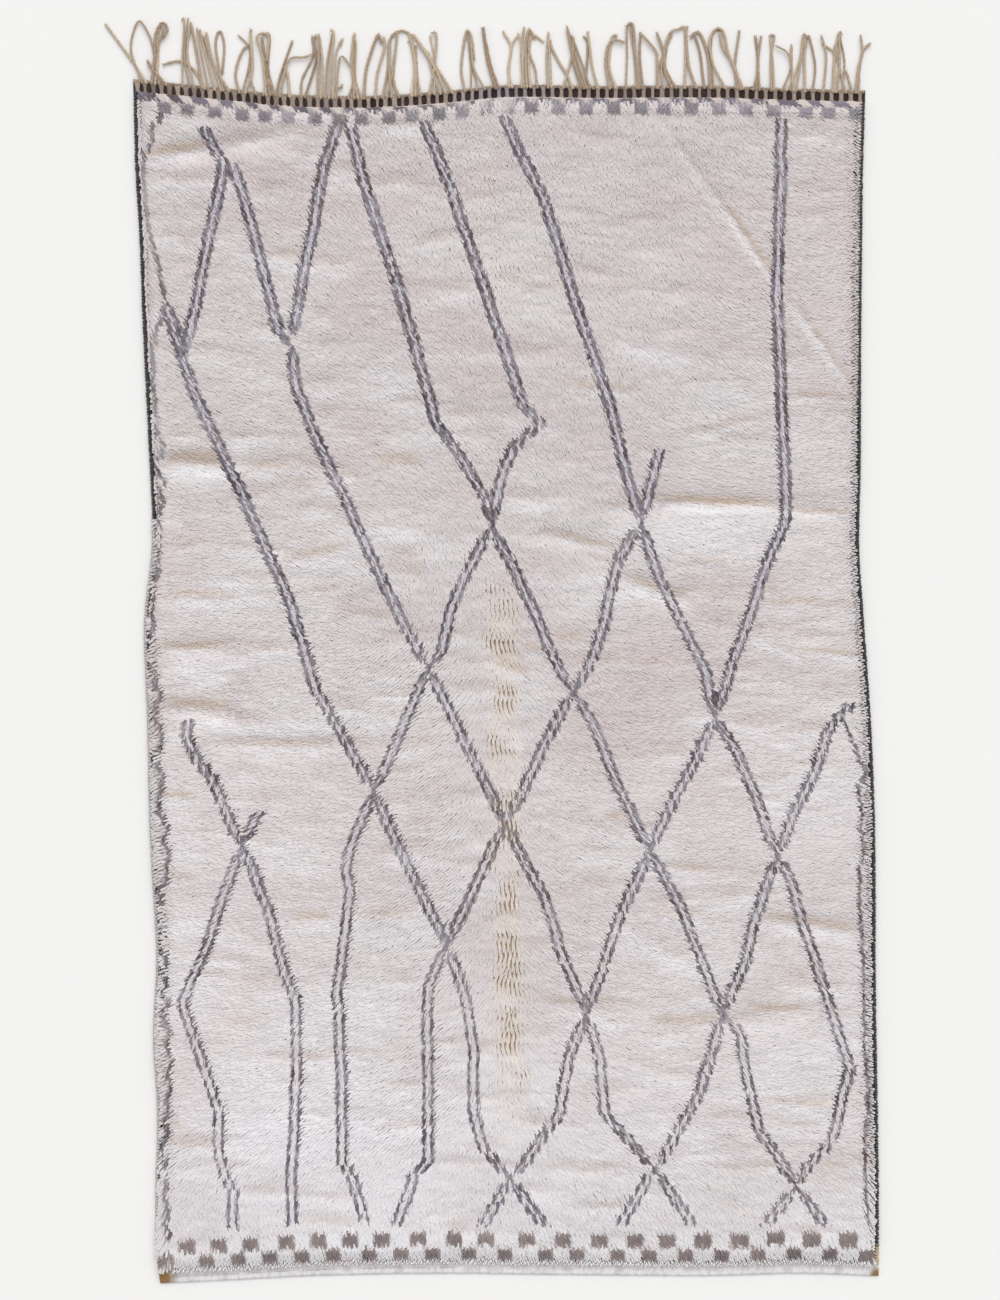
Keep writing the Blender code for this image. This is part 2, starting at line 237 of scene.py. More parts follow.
# ---------------------------------------------------------------- the drawing, in centimetres
# Each line runs from the fringe end to the plain end: where it is across at each y.
DOUBLE_LINES = (
    ((-71.6, 76), (-70.0, 71.5), (-68.4, 66.5), (-67.3, 63), (-66.1, 58), (-61.7, 49), (-57, 39),
     (-52, 28), (-44, 10), (-39, -8), (-31, -22), (-26, -31), (-10, -65), (-6, -75), (-4, -88),
     (-4, -101), (-2, -109), (4, -116), (12, -127)),
    ((-64, 116), (-59, 107), (-61, 96), (-63.6, 84), (-65, 76), (-66.4, 70), (-67.3, 64.5)),
    ((-57, 107), (-53, 95), (-50, 83), (-47, 71), (-44, 67), (-43, 58), (-39, 48), (-32, 33),
     (-23, 13), (-14, -4), (-5, -22), (3, -38), (12, -55), (16, -68), (21, -80), (24, -90),
     (25, -102), (36, -114), (44, -126)),
    ((-33, 117), (-37, 107), (-39, 95), (-41, 84), (-44, 69)),
    ((-31, 116), (-28, 103), (-22, 85), (-19, 75), (-16, 64), (-12, 50), (-7, 43), (-1, 33),
     (0, 27), (5, 18), (10, 7), (15, -4), (18, -9), (23, -17), (27, -28), (35, -44), (42, -57),
     (47, -70), (51, -80), (55, -84), (56, -93), (59, -106), (63, -111), (67, -118), (74, -127)),
    ((-15, 117), (-9, 102), (-5, 90), (0, 75), (3, 66), (7, 54), (11, 50), (5, 45), (2, 38),
     (0, 27), (-5, 18), (-9, 9), (-11, 0), (-14, -4), (-19, -15), (-23, -25), (-26, -31),
     (-31, -43), (-32, -48), (-31, -53), (-33, -66), (-34, -75), (-33, -96), (-33, -112),
     (-31, -116), (-29, -121), (-28, -126)),
    ((3, 117), (6, 110), (11, 101), (15, 88), (19, 75), (24, 60), (27, 51), (30, 38), (33, 28),
     (37, 16), (44, 2), (47, -4), (49, -14), (55, -24), (63, -45), (66, -51), (68, -59),
     (71, -67), (75, -80), (79, -92), (77, -99), (75, -108), (70, -113), (67, -118), (60, -127)),
    ((37, 44), (33, 28), (28, 20), (25, 7), (22, -2), (18, -9), (12, -20), (7, -31), (3, -38),
     (-2, -48), (-7, -59), (-10, -65), (-14, -74), (-14, -90), (-14, -113), (-17, -115),
     (-19, -121), (-21, -127)),
    ((64, 117), (63, 79), (65, 29), (61, 20), (56, 5), (51, -9), (49, -15), (44, -26), (38, -37),
     (35, -44), (28, -59), (24, -71), (21, -80), (17, -90), (15, -102), (7, -113), (4, -116),
     (-2, -127)),
    ((80, -11), (77, -14), (74, -18), (71, -27), (67, -35), (63, -45), (58, -59), (56, -68),
     (51, -80), (46, -97), (36, -114), (28, -127)),
    ((-67, -15), (-67, -19), (-65, -24), (-61, -29), (-57, -39), (-55, -43), (-49, -57),
     (-47, -66), (-45, -72), (-43, -78), (-43, -93), (-44, -115), (-44, -127)),
    ((-51, -35), (-55, -43), (-60, -56), (-63, -66), (-66, -72), (-68, -78), (-66, -84),
     (-62, -95), (-60, -102), (-60, -110), (-59, -115), (-57, -119), (-57, -128)),
)
BORDER_LINES = (
    ((-71.5, 119), (-75, 115), (-74.5, 113), (-76, 109), (-76.5, 106), (-76, 100), (-75.5, 94),
     (-74, 88), (-72.5, 81), (-71.3, 76.5), (-72.6, 74), (-74.4, 68), (-74.5, 60), (-74, 56),
     (-72.4, 44), (-74, 40), (-72, 37), (-73, 28), (-74, 22), (-73, 18), (-75, 14), (-74, 4),
     (-76, 0), (-73, -9), (-74, -15), (-72, -19), (-74, -23), (-72, -31), (-74, -34), (-72, -37),
     (-71, -47), (-73, -56), (-72, -66), (-72, -73), (-71, -90), (-71, -101), (-72, -112),
     (-71, -130)),
    ((78, -16), (79, -19), (81, -24), (83, -27), (81, -29), (81, -33), (82, -36), (81, -39),
     (82, -43), (81, -48), (81, -56), (82, -69), (82, -88), (83, -99), (82, -111), (83, -126)),
)
# Where two doubled lines cross, or draw together to a point.
CROSSINGS = (
    (-65.9, 66), (-44, 68), (0, 27), (33, 28), (-14, -4), (18, -9), (49, -14), (-26, -31),
    (3, -38), (35, -44), (63, -45), (-55, -43), (-10, -65), (21, -80), (51, -80), (67, -118),
    (36, -114), (4, -116),
)
# The middles of the small checks, across, in the row under the heading and the two at the end.
TOP_CHECKS = (
    -73, -68, -62, -56, -51, -46, -40, -35, -30, -24, -19, -13, -8, -3, 2, 7, 13, 19, 25, 31, 36,
    42, 48, 54, 60, 67, 72, 78,
)
UPPER_CHECKS = (
    -73, -66, -59, -51, -44, -37, -30, -22, -14, -7, 2, 10, 18, 26, 33, 41, 49, 57, 65, 73,
)
LOWER_CHECKS = (
    -78, -69, -62, -55, -48, -41, -33, -26, -19, -11, -3, 6, 13, 22, 29, 37, 45, 53, 61, 69, 77,
)
LINE_HALF = 0.0051  # half the width of one band of a line
LINE_SOFT = 0.0024  # how far its edge fades
LINE_APART = 0.0186  # between the two bands of a doubled line
PINCH_FROM = 0.003  # from this far off a crossing the bands draw apart,
PINCH_LONG = 0.028  # over this length,
PINCH_LEAST = 0.25  # from this share of their full distance
STROKE_LONG = 0.0105  # one knot's stroke of colour
ZIGZAG_WIDE = 0.0055
ZIGZAG_LONG = 0.056
ZIGZAG_RIGHT = 0.25  # the right border line swings by this share of the left one
NEAR_LINE = 0.007  # how far from a line the strands turn along it
TOP_CHECK_HALF = 0.0140
TOP_LUMP_TALL = 0.0165
TOP_CHECK_TALL_HALF = 0.0122
CHECK_HALF = 0.018
UPPER_CHECK_ALONG = -1.232
LOWER_CHECK_ALONG = -1.263
CHECK_TALL_HALF = 0.0140
CHECK_EDGE = 0.0045

# How strong the left border line is at each y, where its wool has faded.
Fade = namedtuple("Fade", "y strength")
BORDER_FADES = (
    Fade(0.42, 1.00),
    Fade(0.50, 0.65),
    Fade(0.68, 0.65),
    Fade(0.76, 1.00),
    Fade(0.88, 0.85),
    Fade(0.98, 0.50),
    Fade(1.04, 0.50),
    Fade(1.09, 1.00),
)

# How far the outermost strands lap over the left selvedge at each y, and over the right one.
Lap = namedtuple("Lap", "y far")
LEFT_LAPS = (
    Lap(-1.270, 0.0110),
    Lap(-1.240, 0.0060),
    Lap(0.130, 0.0060),
    Lap(0.145, 0.0115),
    Lap(0.285, 0.0115),
    Lap(0.300, 0.0008),
)
RIGHT_LAP = 0.0034
LAP_FULL = 0.0060  # a lap as long as this takes in the knots further from the edge
LAP_ROOTS_IN = 0.012  # how far in from the edge its strands are rooted
LAP_MOST_LEFT, LAP_MOST_RIGHT = 0.0118, 0.0075

# Which way the pile lies, in degrees from +X, at six places across for each y.
Lean = namedtuple("Lean", "y far_left left near_left near_right right far_right")
LEANS = (
    Lean(-1.4000, -80, -80, -82, -78, -72, -72),
    Lean(-1.2400, -98, -92, -90, -76, -66, -62),
    Lean(-1.1400, -138, -124, -110, -62, -42, -30),
    Lean(-1.0400, -168, -158, -136, -46, -18, -10),
    Lean(-0.8000, -177, -172, -146, -34, -9, -5),
    Lean(-0.5000, -178, -175, -148, -32, -8, -4),
    Lean(-0.2000, -176, -172, -148, -33, -8, -4),
    Lean(0.0000, -174, -170, -132, -36, -12, -6),
    Lean(0.0195, -174, -170, -126, -38, -13, -6),
    Lean(0.0205, -6, -10, -126, -38, -13, -6),
    Lean(0.1200, -8, -12, -98, -50, -16, -5),
    Lean(0.2000, -12, -14, -72, -54, -20, -5),
    Lean(0.3200, -17, -19, -52, -60, -26, -5),
    Lean(0.5000, -23, -25, -50, -70, -42, -6),
    Lean(0.7500, -30, -32, -64, -76, -62, -8),
    Lean(0.9500, -37, -42, -72, -80, -74, -14),
    Lean(1.3000, -44, -60, -80, -86, -84, -40),
)
LEAN_PLACES = (-0.70, -0.38, -0.13, 0.15, 0.40, 0.72)

# The parting down the middle, where the rows of knots show: how open it is at each y.
Parting = namedtuple("Parting", "y x open")
PARTING = (
    Parting(-1.10, 0.046, 0.0),
    Parting(-0.98, 0.046, 0.65),
    Parting(-0.88, 0.044, 0.95),
    Parting(-0.60, 0.042, 1.0),
    Parting(-0.30, 0.030, 0.85),
    Parting(-0.10, 0.024, 1.0),
    Parting(0.10, 0.020, 0.9),
    Parting(0.20, 0.018, 0.0),
    Parting(0.70, 0.020, 0.0),
    Parting(0.82, 0.022, 0.40),
    Parting(0.94, 0.010, 0.15),
    Parting(1.04, 0.000, 0.50),
    Parting(1.14, 0.000, 0.0),
)
PARTING_HALF = 0.036

WARP_ROOT_IN = 0.008  # how far inside the heading's edge a warp end leaves it
WARP_ROOT_HIGH = 0.0082
WARP_THICK = 0.0020  # half the thickness of one ply
WARP_TWIST = 0.0125  # along a warp end for one turn of its plies
WARP_STEP = 0.0044
WARP_LOOSE = 0.010  # how far from its tip the plies come apart
# The warp ends beyond the heading, in centimetres: the root's x, then each bend's x and y. A
# last number alone is the x where a loop goes back into the heading.
WARP_ENDS = (
    (-76, -79.5, 130.5, -85.3, 138.5),
    (-77, -79.6, 133, -77.9, 139, -75.4, 135.6, -74.4, 131.5),
    (-75, -74.3, 131.5, -74.1, 136, -72.7, 138.6, -71.5, 137.2, -72.7, 135),
    (-74.2, -73.6, 131, -73.8, 135.5, -72.9, 138),
    (-73.2, -74.0, 129, -73.4, 134, -72.4, 137.4),
    (-71.6, -74.8, 128.4, -76.0, 130.4),
    (-63, -65.8, 128.4, -68.9, 130.2, -72.6, 129.4),
    (-68.2, -68.2, 131.4, -67.8, 139.3, -68.4, 139.0),
    (-66.6, -67.8, 131.8, -66.9, 139.7),
    (-65.6, -67.2, 132.4, -66.3, 138.4),
    (-63.7, -65.0, 131.4, -66.4, 138.8),
    (-62.4, -64.2, 132.4, -65.0, 137.5),
    (-61.0, -63.0, 131.2, -64.4, 137.2),
    (-59.6, -61.8, 130.8, -63.0, 136.6),
    (-57.8, -61.2, 129.0, -63.4, 135.8),
    (-59.2, -60.9, 133.6, -60.0, 136.9, -59.0, 133.8, -59.4, 127.4),
    (-55.6, -56.5, 127.4, -55.3, 131.8, -53.6, 134.0),
    (-54.4, -52.8, 128.5, -53.2, 136.4, -52.8, 137.0),
    (-55.0, -53.5, 129.6, -53.6, 133.4, -56.0, 136.0),
    (-51.9, -53.4, 127.4, -53.0, 134.4),
    (-49.7, -50.6, 131.4, -51.8, 135.4, -50.2, 136.3, -49.2, 135.4, -49.6, 130.0),
    (-47.7, -49.3, 128.6, -49.0, 135.8, -50.6, 136.0),
    (-48.8, -49.8, 128.6, -50.7, 135.4),
    (-50.4, -49.4, 126.0, -48.6, 124.6),
    (-47.6, -46.5, 127.4, -43.9, 134.8),
    (-44.5, -45.0, 127.2, -45.7, 128.8),
    (-46.8, -44.8, 130.2, -41.4, 131.0, -39.6, 131.6),
    (-42.0, -41.8, 126.2, -39.4, 131.4, -39.6, 135.9),
    (-41.2, -38.8, 130.2, -39.2, 134.4, -38.6, 136.0),
    (-38.5, -38.2, 129.8, -38.1, 136.2),
    (-37.7, -37.4, 129.8, -38.0, 135.6),
    (-36.8, -36.2, 130.2, -35.0, 136.8),
    (-35.9, -35.4, 130.2, -34.8, 136.2, -35.6, 137.0),
    (-35.0, -34.4, 131.4, -32.9, 135.2, -33.4, 133.5),
    (-34.4, -34.6, 124.0, -33.0, 124.4, -33.1, 125.2),
    (-34.4, -33.4, 131.0, -31.0, 129.0),
    (-30.3, -30.6, 129.8, -30.2, 136.5),
    (-29.4, -30.9, 129.0, -30.4, 136.0),
    (-31.7, -30.4, 126.0, -30.1, 131.0, -30.0, 134.8),
    (-28.6, -30.0, 126.2, -30.4, 133.6),
    (-28.2, -27.6, 128.6, -25.4, 135.4, -24.8, 135.8, -24.2, 134.0),
    (-25.6, -25.2, 127.4, -23.6, 133.2, -23.8, 135.6),
    (-24.1, -22.9, 128.5, -22.4, 135.0, -20.0, 136.9, -17.7, 135.8, -18.3, 134.2),
    (-23.2, -21.7, 128.6, -20.9, 136.2, -22.0, 135.6),
    (-22.0, -22.6, 128.4, -22.4, 134.4),
    (-20.4, -21.7, 126.2, -21.4, 131.4),
    (-17.6, -17.0, 129.2, -18.2, 136.2),
    (-16.8, -16.8, 129.2, -17.8, 135.6),
    (-15.6, -16.4, 126.8, -16.8, 133.8),
    (-8.5, -12.4, 129.2, -14.8, 132.6, -17.4, 136.2),
    (-13.8, -12.6, 129.2, -12.2, 136.0, -13.4, 136.2),
    (-12.6, -12.6, 130.2, -13.6, 135.9),
    (-11.2, -13.4, 129.0, -14.0, 132.4),
    (-10.0, -12.4, 128.4, -16.2, 134.4),
    (-5.8, -6.7, 128.6, -5.9, 135.4, -5.2, 137.0, -4.4, 135.2, -3.8, 130.4),
    (-4.5, -4.6, 129.8, -5.3, 136.2),
    (-1.4, -4.0, 129.0, -4.6, 135.0),
    (-3.2, -3.5, 126.2, -4.6, 129.6, -4.9, 133.0),
    (1.0, -0.8, 130.2, -1.9, 137.7),
    (1.7, -0.1, 129.2, -1.3, 134.8),
    (4.6, 3.7, 128.5, 4.3, 133.4, 2.5, 136.9),
    (3.9, 3.9, 128.6, 4.5, 133.6, 6.0, 136.1),
    (7.2, 6.6, 131.4, 7.2, 137.8),
    (7.8, 7.5, 131.4, 8.2, 137.2, 9.6, 135.0),
    (10.1, 9.6, 128.4, 8.2, 132.6, 8.5, 136.6),
    (6.6, 6.9, 129.0, 6.4, 135.0, 5.6, 136.4),
    (8.6, 8.2, 130.0, 8.9, 135.8, 11.6, 134.4),
    (12.5, 12.2, 130.8, 12.6, 136.6),
    (13.2, 12.9, 130.8, 12.5, 135.6),
    (18.0, 16.6, 127.2, 15.0, 129.8, 13.2, 133.4, 12.9, 135.0),
    (15.7, 16.8, 127.8, 17.8, 131.6, 18.0, 134.6),
    (20.5, 18.1, 130.4, 16.6, 138.0),
    (21.1, 19.2, 129.2, 16.9, 137.2),
    (19.9, 17.8, 131.0, 18.1, 135.6),
    (23.6, 22.2, 129.2, 21.2, 136.8),
    (22.5, 21.0, 126.4, 21.2, 134.0, 20.2, 135.8),
    (21.8, 20.2, 129.0, 17.6, 136.0),
    (26.1, 25.2, 129.8, 25.8, 133.8, 27.4, 134.8, 29.4, 134.2),
    (27.5, 25.9, 129.2, 26.6, 135.4, 27.8, 135.8),
    (29.6, 29.9, 131.4, 29.9, 137.6, 31.4, 138.0),
    (32.5, 31.7, 131.4, 31.1, 138.2, 29.6, 137.6),
    (33.4, 32.7, 131.4, 32.9, 136.6),
    (32.0, 31.6, 130.4, 30.6, 137.4),
    (36.6, 36.5, 130.0, 36.2, 132.4, 33.2, 136.0),
    (36.7, 36.8, 128.6, 38.6, 133.2, 39.9, 136.3),
    (38.1, 37.5, 128.6, 39.1, 136.0, 41.8, 137.4),
    (39.9, 38.2, 128.0, 38.0, 132.0, 36.4, 136.6),
    (40.8, 39.2, 126.8, 38.2, 129.4, 38.6, 133.2),
    (42.6, 42.8, 131.4, 42.6, 137.4, 41.2, 137.2),
    (45.2, 43.4, 129.6, 42.9, 136.8, 43.4, 137.8),
    (48.4, 47.7, 131.6, 45.8, 136.5, 43.8, 135.4),
    (47.0, 46.6, 127.0, 46.0, 132.0, 44.8, 136.0),
    (51.7, 48.8, 129.6, 48.2, 135.0, 49.8, 137.4, 51.3, 136.2, 52.4, 131.4, 55.6),
    (49.0, 48.4, 130.8, 48.8, 136.4, 51.0, 137.0),
    (54.3, 53.7, 129.2, 54.7, 137.0),
    (55.0, 53.6, 129.0, 51.0, 133.2, 50.4, 136.6),
    (58.4, 58.8, 130.4, 58.2, 135.9),
    (59.1, 58.8, 130.4, 59.5, 135.8),
    (57.6, 58.6, 127.6, 58.8, 134.0),
    (61.7, 61.7, 131.4, 62.4, 135.8, 61.2, 135.6),
    (62.4, 62.0, 130.2, 61.5, 135.2),
    (63.9, 65.2, 126.2, 66.1, 129.2, 65.2, 132.0, 62.6, 133.6),
    (66.7, 66.2, 128.6, 66.2, 134.0),
    (64.9, 67.0, 127.4, 69.4, 135.8),
    (67.1, 68.2, 130.4, 68.8, 136.0, 69.6, 135.2),
    (69.1, 69.1, 131.4, 69.6, 135.6),
    (70.8, 71.4, 129.2, 70.2, 135.2, 69.6, 135.8),
    (73.2, 73.8, 131.4, 72.7, 136.0),
    (75.8, 75.6, 130.6, 75.4, 132.4, 72.9, 134.0),
    (75.3, 75.6, 129.8, 76.5, 136.2),
    (76.1, 76.8, 129.8, 76.7, 136.4, 77.4, 135.8),
    (77.3, 77.9, 130.2, 76.8, 136.0),
    (78.2, 77.0, 127.8, 75.7, 133.8),
    (80.3, 80.9, 128.6, 81.8, 132.3, 81.4, 136.0),
    (80.9, 81.2, 128.6, 82.0, 132.4, 83.7, 134.2),
    (79.6, 78.8, 126.2, 78.2, 128.2),
)


# ---------------------------------------------------------------- wool colours
def dyed(red, green, blue):
    """A wool colour, from the numbers of a paint chart (0 to 255) to light."""
    chart = np.array((red, green, blue)) / 255
    return np.where(chart <= 0.04045, chart / 12.92, ((chart + 0.055) / 1.055) ** 2.4)


IVORY_PLAIN = dyed(223, 217, 217)
IVORY_PINK = dyed(220, 209, 210)
IVORY_COOL = dyed(244, 241, 246)
IVORY_WHITE_AND_HIGHLIGHT = dyed(247, 246, 251)
CLOUD_SHADE_TAN = dyed(212, 199, 193)
CREASE_SHADE_TAN = dyed(202, 180, 160)
PARTING_HIGHLIGHT_CREAM = dyed(242, 231, 221)
ROOT_SHADE_TAN = dyed(196, 172, 142)
GROUND_IVORY_SHADED = dyed(216, 206, 200)
LINE_GREY = dyed(84, 79, 90)
LINE_BROWN = dyed(92, 78, 83)
LINE_FILL = dyed(209, 204, 215)
LINE_LILAC = dyed(150, 146, 166)
SLATE = dyed(140, 135, 143)
CHECK_BROWN = dyed(158, 144, 142)
TOP_DARK = dyed(88, 79, 84)
LUMP_PALE = dyed(214, 203, 200)
GROUND_UNDER = dyed(206, 196, 184)
WEFT_BROWN = dyed(50, 38, 34)
WEFT_PLUM = dyed(66, 54, 56)
RIB_BEIGE = dyed(176, 160, 147)
RIB_SHADE = dyed(150, 134, 123)
RIB_FADED = dyed(158, 152, 160)
CORD_TAN = dyed(186, 167, 148)
CORD_SHADE = dyed(146, 127, 112)
BAND_WHITE = dyed(250, 247, 250)
BAND_GREY = dyed(226, 221, 224)
BAND_THREAD = dyed(130, 124, 130)
SELVEDGE_DARK = dyed(66, 64, 70)
SELVEDGE_WORN = dyed(150, 148, 156)
PILE_OVER_EDGE = dyed(204, 198, 199)
PILE_FUZZ = dyed(208, 201, 201)
CORNER_GOLD = dyed(150, 118, 76)
CORNER_CREAM = dyed(196, 172, 142)
WARP_PALE = dyed(213, 195, 172)
WARP_DEEP = dyed(180, 157, 135)


# ---------------------------------------------------------------- working out places
def read(rows, at, column):
    """A table's value at places between its rows, on a smooth curve through them."""
    places = np.array([row[0] for row in rows])
    values = np.array([getattr(row, column) for row in rows])
    at = np.asarray(at, float)
    k = np.clip(np.searchsorted(places, at, side="right") - 1, 0, len(rows) - 2)
    span = places[k + 1] - places[k]
    t = np.clip((at - places[k]) / span, 0.0, 1.0)
    low = np.maximum(np.arange(len(rows)) - 1, 0)
    high = np.minimum(np.arange(len(rows)) + 1, len(rows) - 1)
    slope = (values[high] - values[low]) / (places[high] - places[low])
    rising = values[k] + (values[k + 1] - values[k]) * t * t * (3 - 2 * t)
    leaving, arriving = slope[k] * span, slope[k + 1] * span
    return rising + leaving * t * (1 - t) ** 2 - arriving * t * t * (1 - t)


def lie(across, along):
    """Where points of the rug as woven lie on the floor."""
    left, right = read(SIDES, along, "left"), read(SIDES, along, "right")
    plain, fringed = read(ENDS, across, "plain"), read(ENDS, across, "fringed")
    x = left + (right - left) * (across / RUG_WIDE + 0.5)
    y = plain + (fringed - plain) * (along / RUG_LONG + 0.5)
    return x, y


def beside_fold(fold, x, y):
    """How far places lie to the side of a fold, and how it fades towards its ends."""
    run_x, run_y = fold.x1 - fold.x0, fold.y1 - fold.y0
    run = math.hypot(run_x, run_y)
    t = np.clip(((x - fold.x0) * run_x + (y - fold.y0) * run_y) / run**2, 0.0, 1.0)
    aside = ((y - fold.y0) * run_x - (x - fold.x0) * run_y) / run
    return aside - fold.bow * np.sin(np.pi * t), np.maximum(np.sin(np.pi * t), 0.0) ** 0.5


def fold_rise(fold, x, y):
    """How far a fold raises places, or sinks them, below 0."""
    aside, fade = beside_fold(fold, x, y)
    return fold.rise * fade * np.exp(-((aside / fold.wide) ** 2))


def pile_top(across, along, x, y):
    """The height of the pile's surface over the floor."""
    to_end = np.minimum(along - FIELD_LOW, FIELD_HIGH - along)
    nearest = np.minimum(FIELD_HALF - np.abs(across), to_end)
    inward = np.clip(nearest / ROLL_OVER, 0.0, 1.0)
    rim = (PILE_HIGH - PILE_RIM) * (1 - inward) ** 2
    swell = np.sin(2 * np.pi * y / SWELL_LONG + np.sin(2 * np.pi * x / SWELL_WIDE))
    folds = sum(fold_rise(fold, x, y) for fold in FOLDS)
    return PILE_HIGH - rim + inward * (SWELL * swell + folds)


def drift(seed, x, y, wide, tall):
    """A smooth chance value from -1 to 1, which changes over about the given sizes."""
    chances = np.random.default_rng(seed).uniform(-1, 1, (97, 97))
    u, v = x / wide + 50.3, y / tall + 50.7
    i, j = np.floor(u).astype(int), np.floor(v).astype(int)
    s, t = u - i, v - j
    s, t = s * s * (3 - 2 * s), t * t * (3 - 2 * t)
    i, j, i1, j1 = i % 97, j % 97, (i + 1) % 97, (j + 1) % 97
    near = chances[i, j] * (1 - s) + chances[i1, j] * s
    far = chances[i, j1] * (1 - s) + chances[i1, j1] * s
    return near * (1 - t) + far * t


def blend(first, second, share):
    """Two colours mixed, a share for each place."""
    return first + (second - first) * np.asarray(share)[..., None]


# ---------------------------------------------------------------- making meshes
def piece(name, points, faces, material, colours=None, maps=(), normals=None):
    """A mesh piece from its points and faces. Faces of one size come as one array each."""
    mesh = bpy.data.meshes.new(name)
    points = np.asarray(points, np.float32)
    groups = [np.asarray(group, np.int32) for group in faces]
    corners = np.concatenate([group.ravel() for group in groups])
    sizes = np.concatenate([np.full(len(group), group.shape[1]) for group in groups])
    starts = np.concatenate([[0], np.cumsum(sizes)[:-1]]).astype(np.int32)
    mesh.vertices.add(len(points))
    mesh.vertices.foreach_set("co", points.ravel())
    mesh.loops.add(len(corners))
    mesh.loops.foreach_set("vertex_index", corners.astype(np.int32))
    mesh.polygons.add(len(sizes))
    mesh.polygons.foreach_set("loop_start", starts)
    mesh.polygons.foreach_set("use_smooth", np.ones(len(sizes), bool))
    for map_name, places in maps:
        layer = mesh.uv_layers.new(name=map_name)
        layer.uv.foreach_set("vector", np.asarray(places, np.float32).ravel())
    if colours is not None:
        layer = mesh.color_attributes.new(name="wool", type="FLOAT_COLOR", domain="POINT")
        full = np.ones((len(points), 4), np.float32)
        full[:, :3] = colours
        layer.data.foreach_set("color", full.ravel())
    mesh.update(calc_edges=True)
    if normals is not None:
        mesh.normals_split_custom_set(normals)
    mesh.materials.append(material)
    made = bpy.data.objects.new(name, mesh)
    bpy.context.scene.collection.objects.link(made)
    return made


def grid_faces(rows, columns):
    """Quads of a grid of rows x columns points, facing up when columns run along +X."""
    at = np.arange(rows * columns).reshape(rows, columns)
    return np.stack([at[:-1, :-1], at[:-1, 1:], at[1:, 1:], at[1:, :-1]], -1).reshape(-1, 4)


def closed_sheet(tops, bottoms):
    """Points and quads of a closed sheet from two grids of points, rows x columns x 3."""
    rows, columns = tops.shape[:2]
    count = rows * columns
    at = np.arange(count).reshape(rows, columns)
    rim = np.concatenate([at[0, :-1], at[:-1, -1], at[-1, :0:-1], at[:0:-1, 0]])
    following = np.roll(rim, -1)
    up = grid_faces(rows, columns)
    down = up[:, ::-1] + count
    walls = np.stack([rim, rim + count, following + count, following], -1)
    points = np.concatenate([tops.reshape(-1, 3), bottoms.reshape(-1, 3)])
    return points, np.concatenate([up, down, walls])


def flat_sheet(x, y, top):
    """Points and quads of a closed sheet with a flat underside, just over the floor."""
    return closed_sheet(np.stack([x, y, top], -1), np.stack([x, y, top * 0 + UNDERSIDE], -1))


def tubes(paths, radii, sides, squash=1.0):
    """Points and faces of closed tubes along paths of equal length, count x rings x 3."""
    count, rings = paths.shape[:2]
    ahead = np.gradient(paths, axis=1)
    ahead /= np.linalg.norm(ahead, axis=2, keepdims=True) + 1e-12
    aside = np.cross(ahead, (0.0, 0.0, 1.0))
    weak = np.linalg.norm(aside, axis=2, keepdims=True) < 0.05
    aside = np.where(weak, np.cross(ahead, (1.0, 0.0, 0.0)), aside)
    aside /= np.linalg.norm(aside, axis=2, keepdims=True)
    upward = np.cross(aside, ahead)
    turns = 2 * np.pi * np.arange(sides) / sides
    round_ = np.cos(turns)[None, None, :, None] * aside[:, :, None]
    round_ = round_ + squash * np.sin(turns)[None, None, :, None] * upward[:, :, None]
    points = paths[:, :, None] + round_ * np.asarray(radii)[..., None, None]
    first = np.arange(count)[:, None, None] * rings * sides
    ring = np.arange(rings - 1)[None, :, None] * sides
    side, following = np.arange(sides), (np.arange(sides) + 1) % sides
    a, b = first + ring + side, first + ring + following
    walls = np.stack([a, b, b + sides, a + sides], -1).reshape(-1, 4)
    starts = (first[:, 0] + side[::-1]).reshape(-1, sides)
    ends = (first[:, 0] + (rings - 1) * sides + side).reshape(-1, sides)
    return points.reshape(-1, 3), walls, np.concatenate([starts, ends])


# ---------------------------------------------------------------- finishes
def finish_with(name, roughness, sheen):
    """A new wool material: its nodes, its links and its shader."""
    material = bpy.data.materials.new(name)
    material.use_nodes = True
    nodes, links = material.node_tree.nodes, material.node_tree.links
    shader = nodes["Principled BSDF"]
    shader.inputs["Roughness"].default_value = roughness
    shader.inputs["Specular IOR Level"].default_value = 0.15
    shader.inputs["Sheen Weight"].default_value = sheen
    shader.inputs["Sheen Roughness"].default_value = 0.6
    return material, nodes, links, shader


def noise(nodes, links, source, scale, detail=2.0, stretch=(1.0, 1.0, 1.0)):
    """A noise pattern's height on the given coordinates."""
    mapping = nodes.new("ShaderNodeMapping")
    mapping.inputs["Scale"].default_value = stretch
    links.new(source, mapping.inputs["Vector"])
    texture = nodes.new("ShaderNodeTexNoise")
    texture.inputs["Scale"].default_value = scale
    texture.inputs["Detail"].default_value = detail
    links.new(mapping.outputs["Vector"], texture.inputs["Vector"])
    return texture.outputs["Fac"]


def tinted(nodes, links, colour, height, darkest, lightest):
    """A colour made darker and lighter by a pattern."""
    ramp = nodes.new("ShaderNodeMapRange")
    ramp.inputs["From Min"].default_value = 0.3
    ramp.inputs["From Max"].default_value = 0.7
    ramp.inputs["To Min"].default_value = darkest
    ramp.inputs["To Max"].default_value = lightest
    links.new(height, ramp.inputs["Value"])
    scaled = nodes.new("ShaderNodeVectorMath")
    scaled.operation = "SCALE"
    links.new(colour, scaled.inputs[0])
    links.new(ramp.outputs["Result"], scaled.inputs["Scale"])
    return scaled.outputs["Vector"]


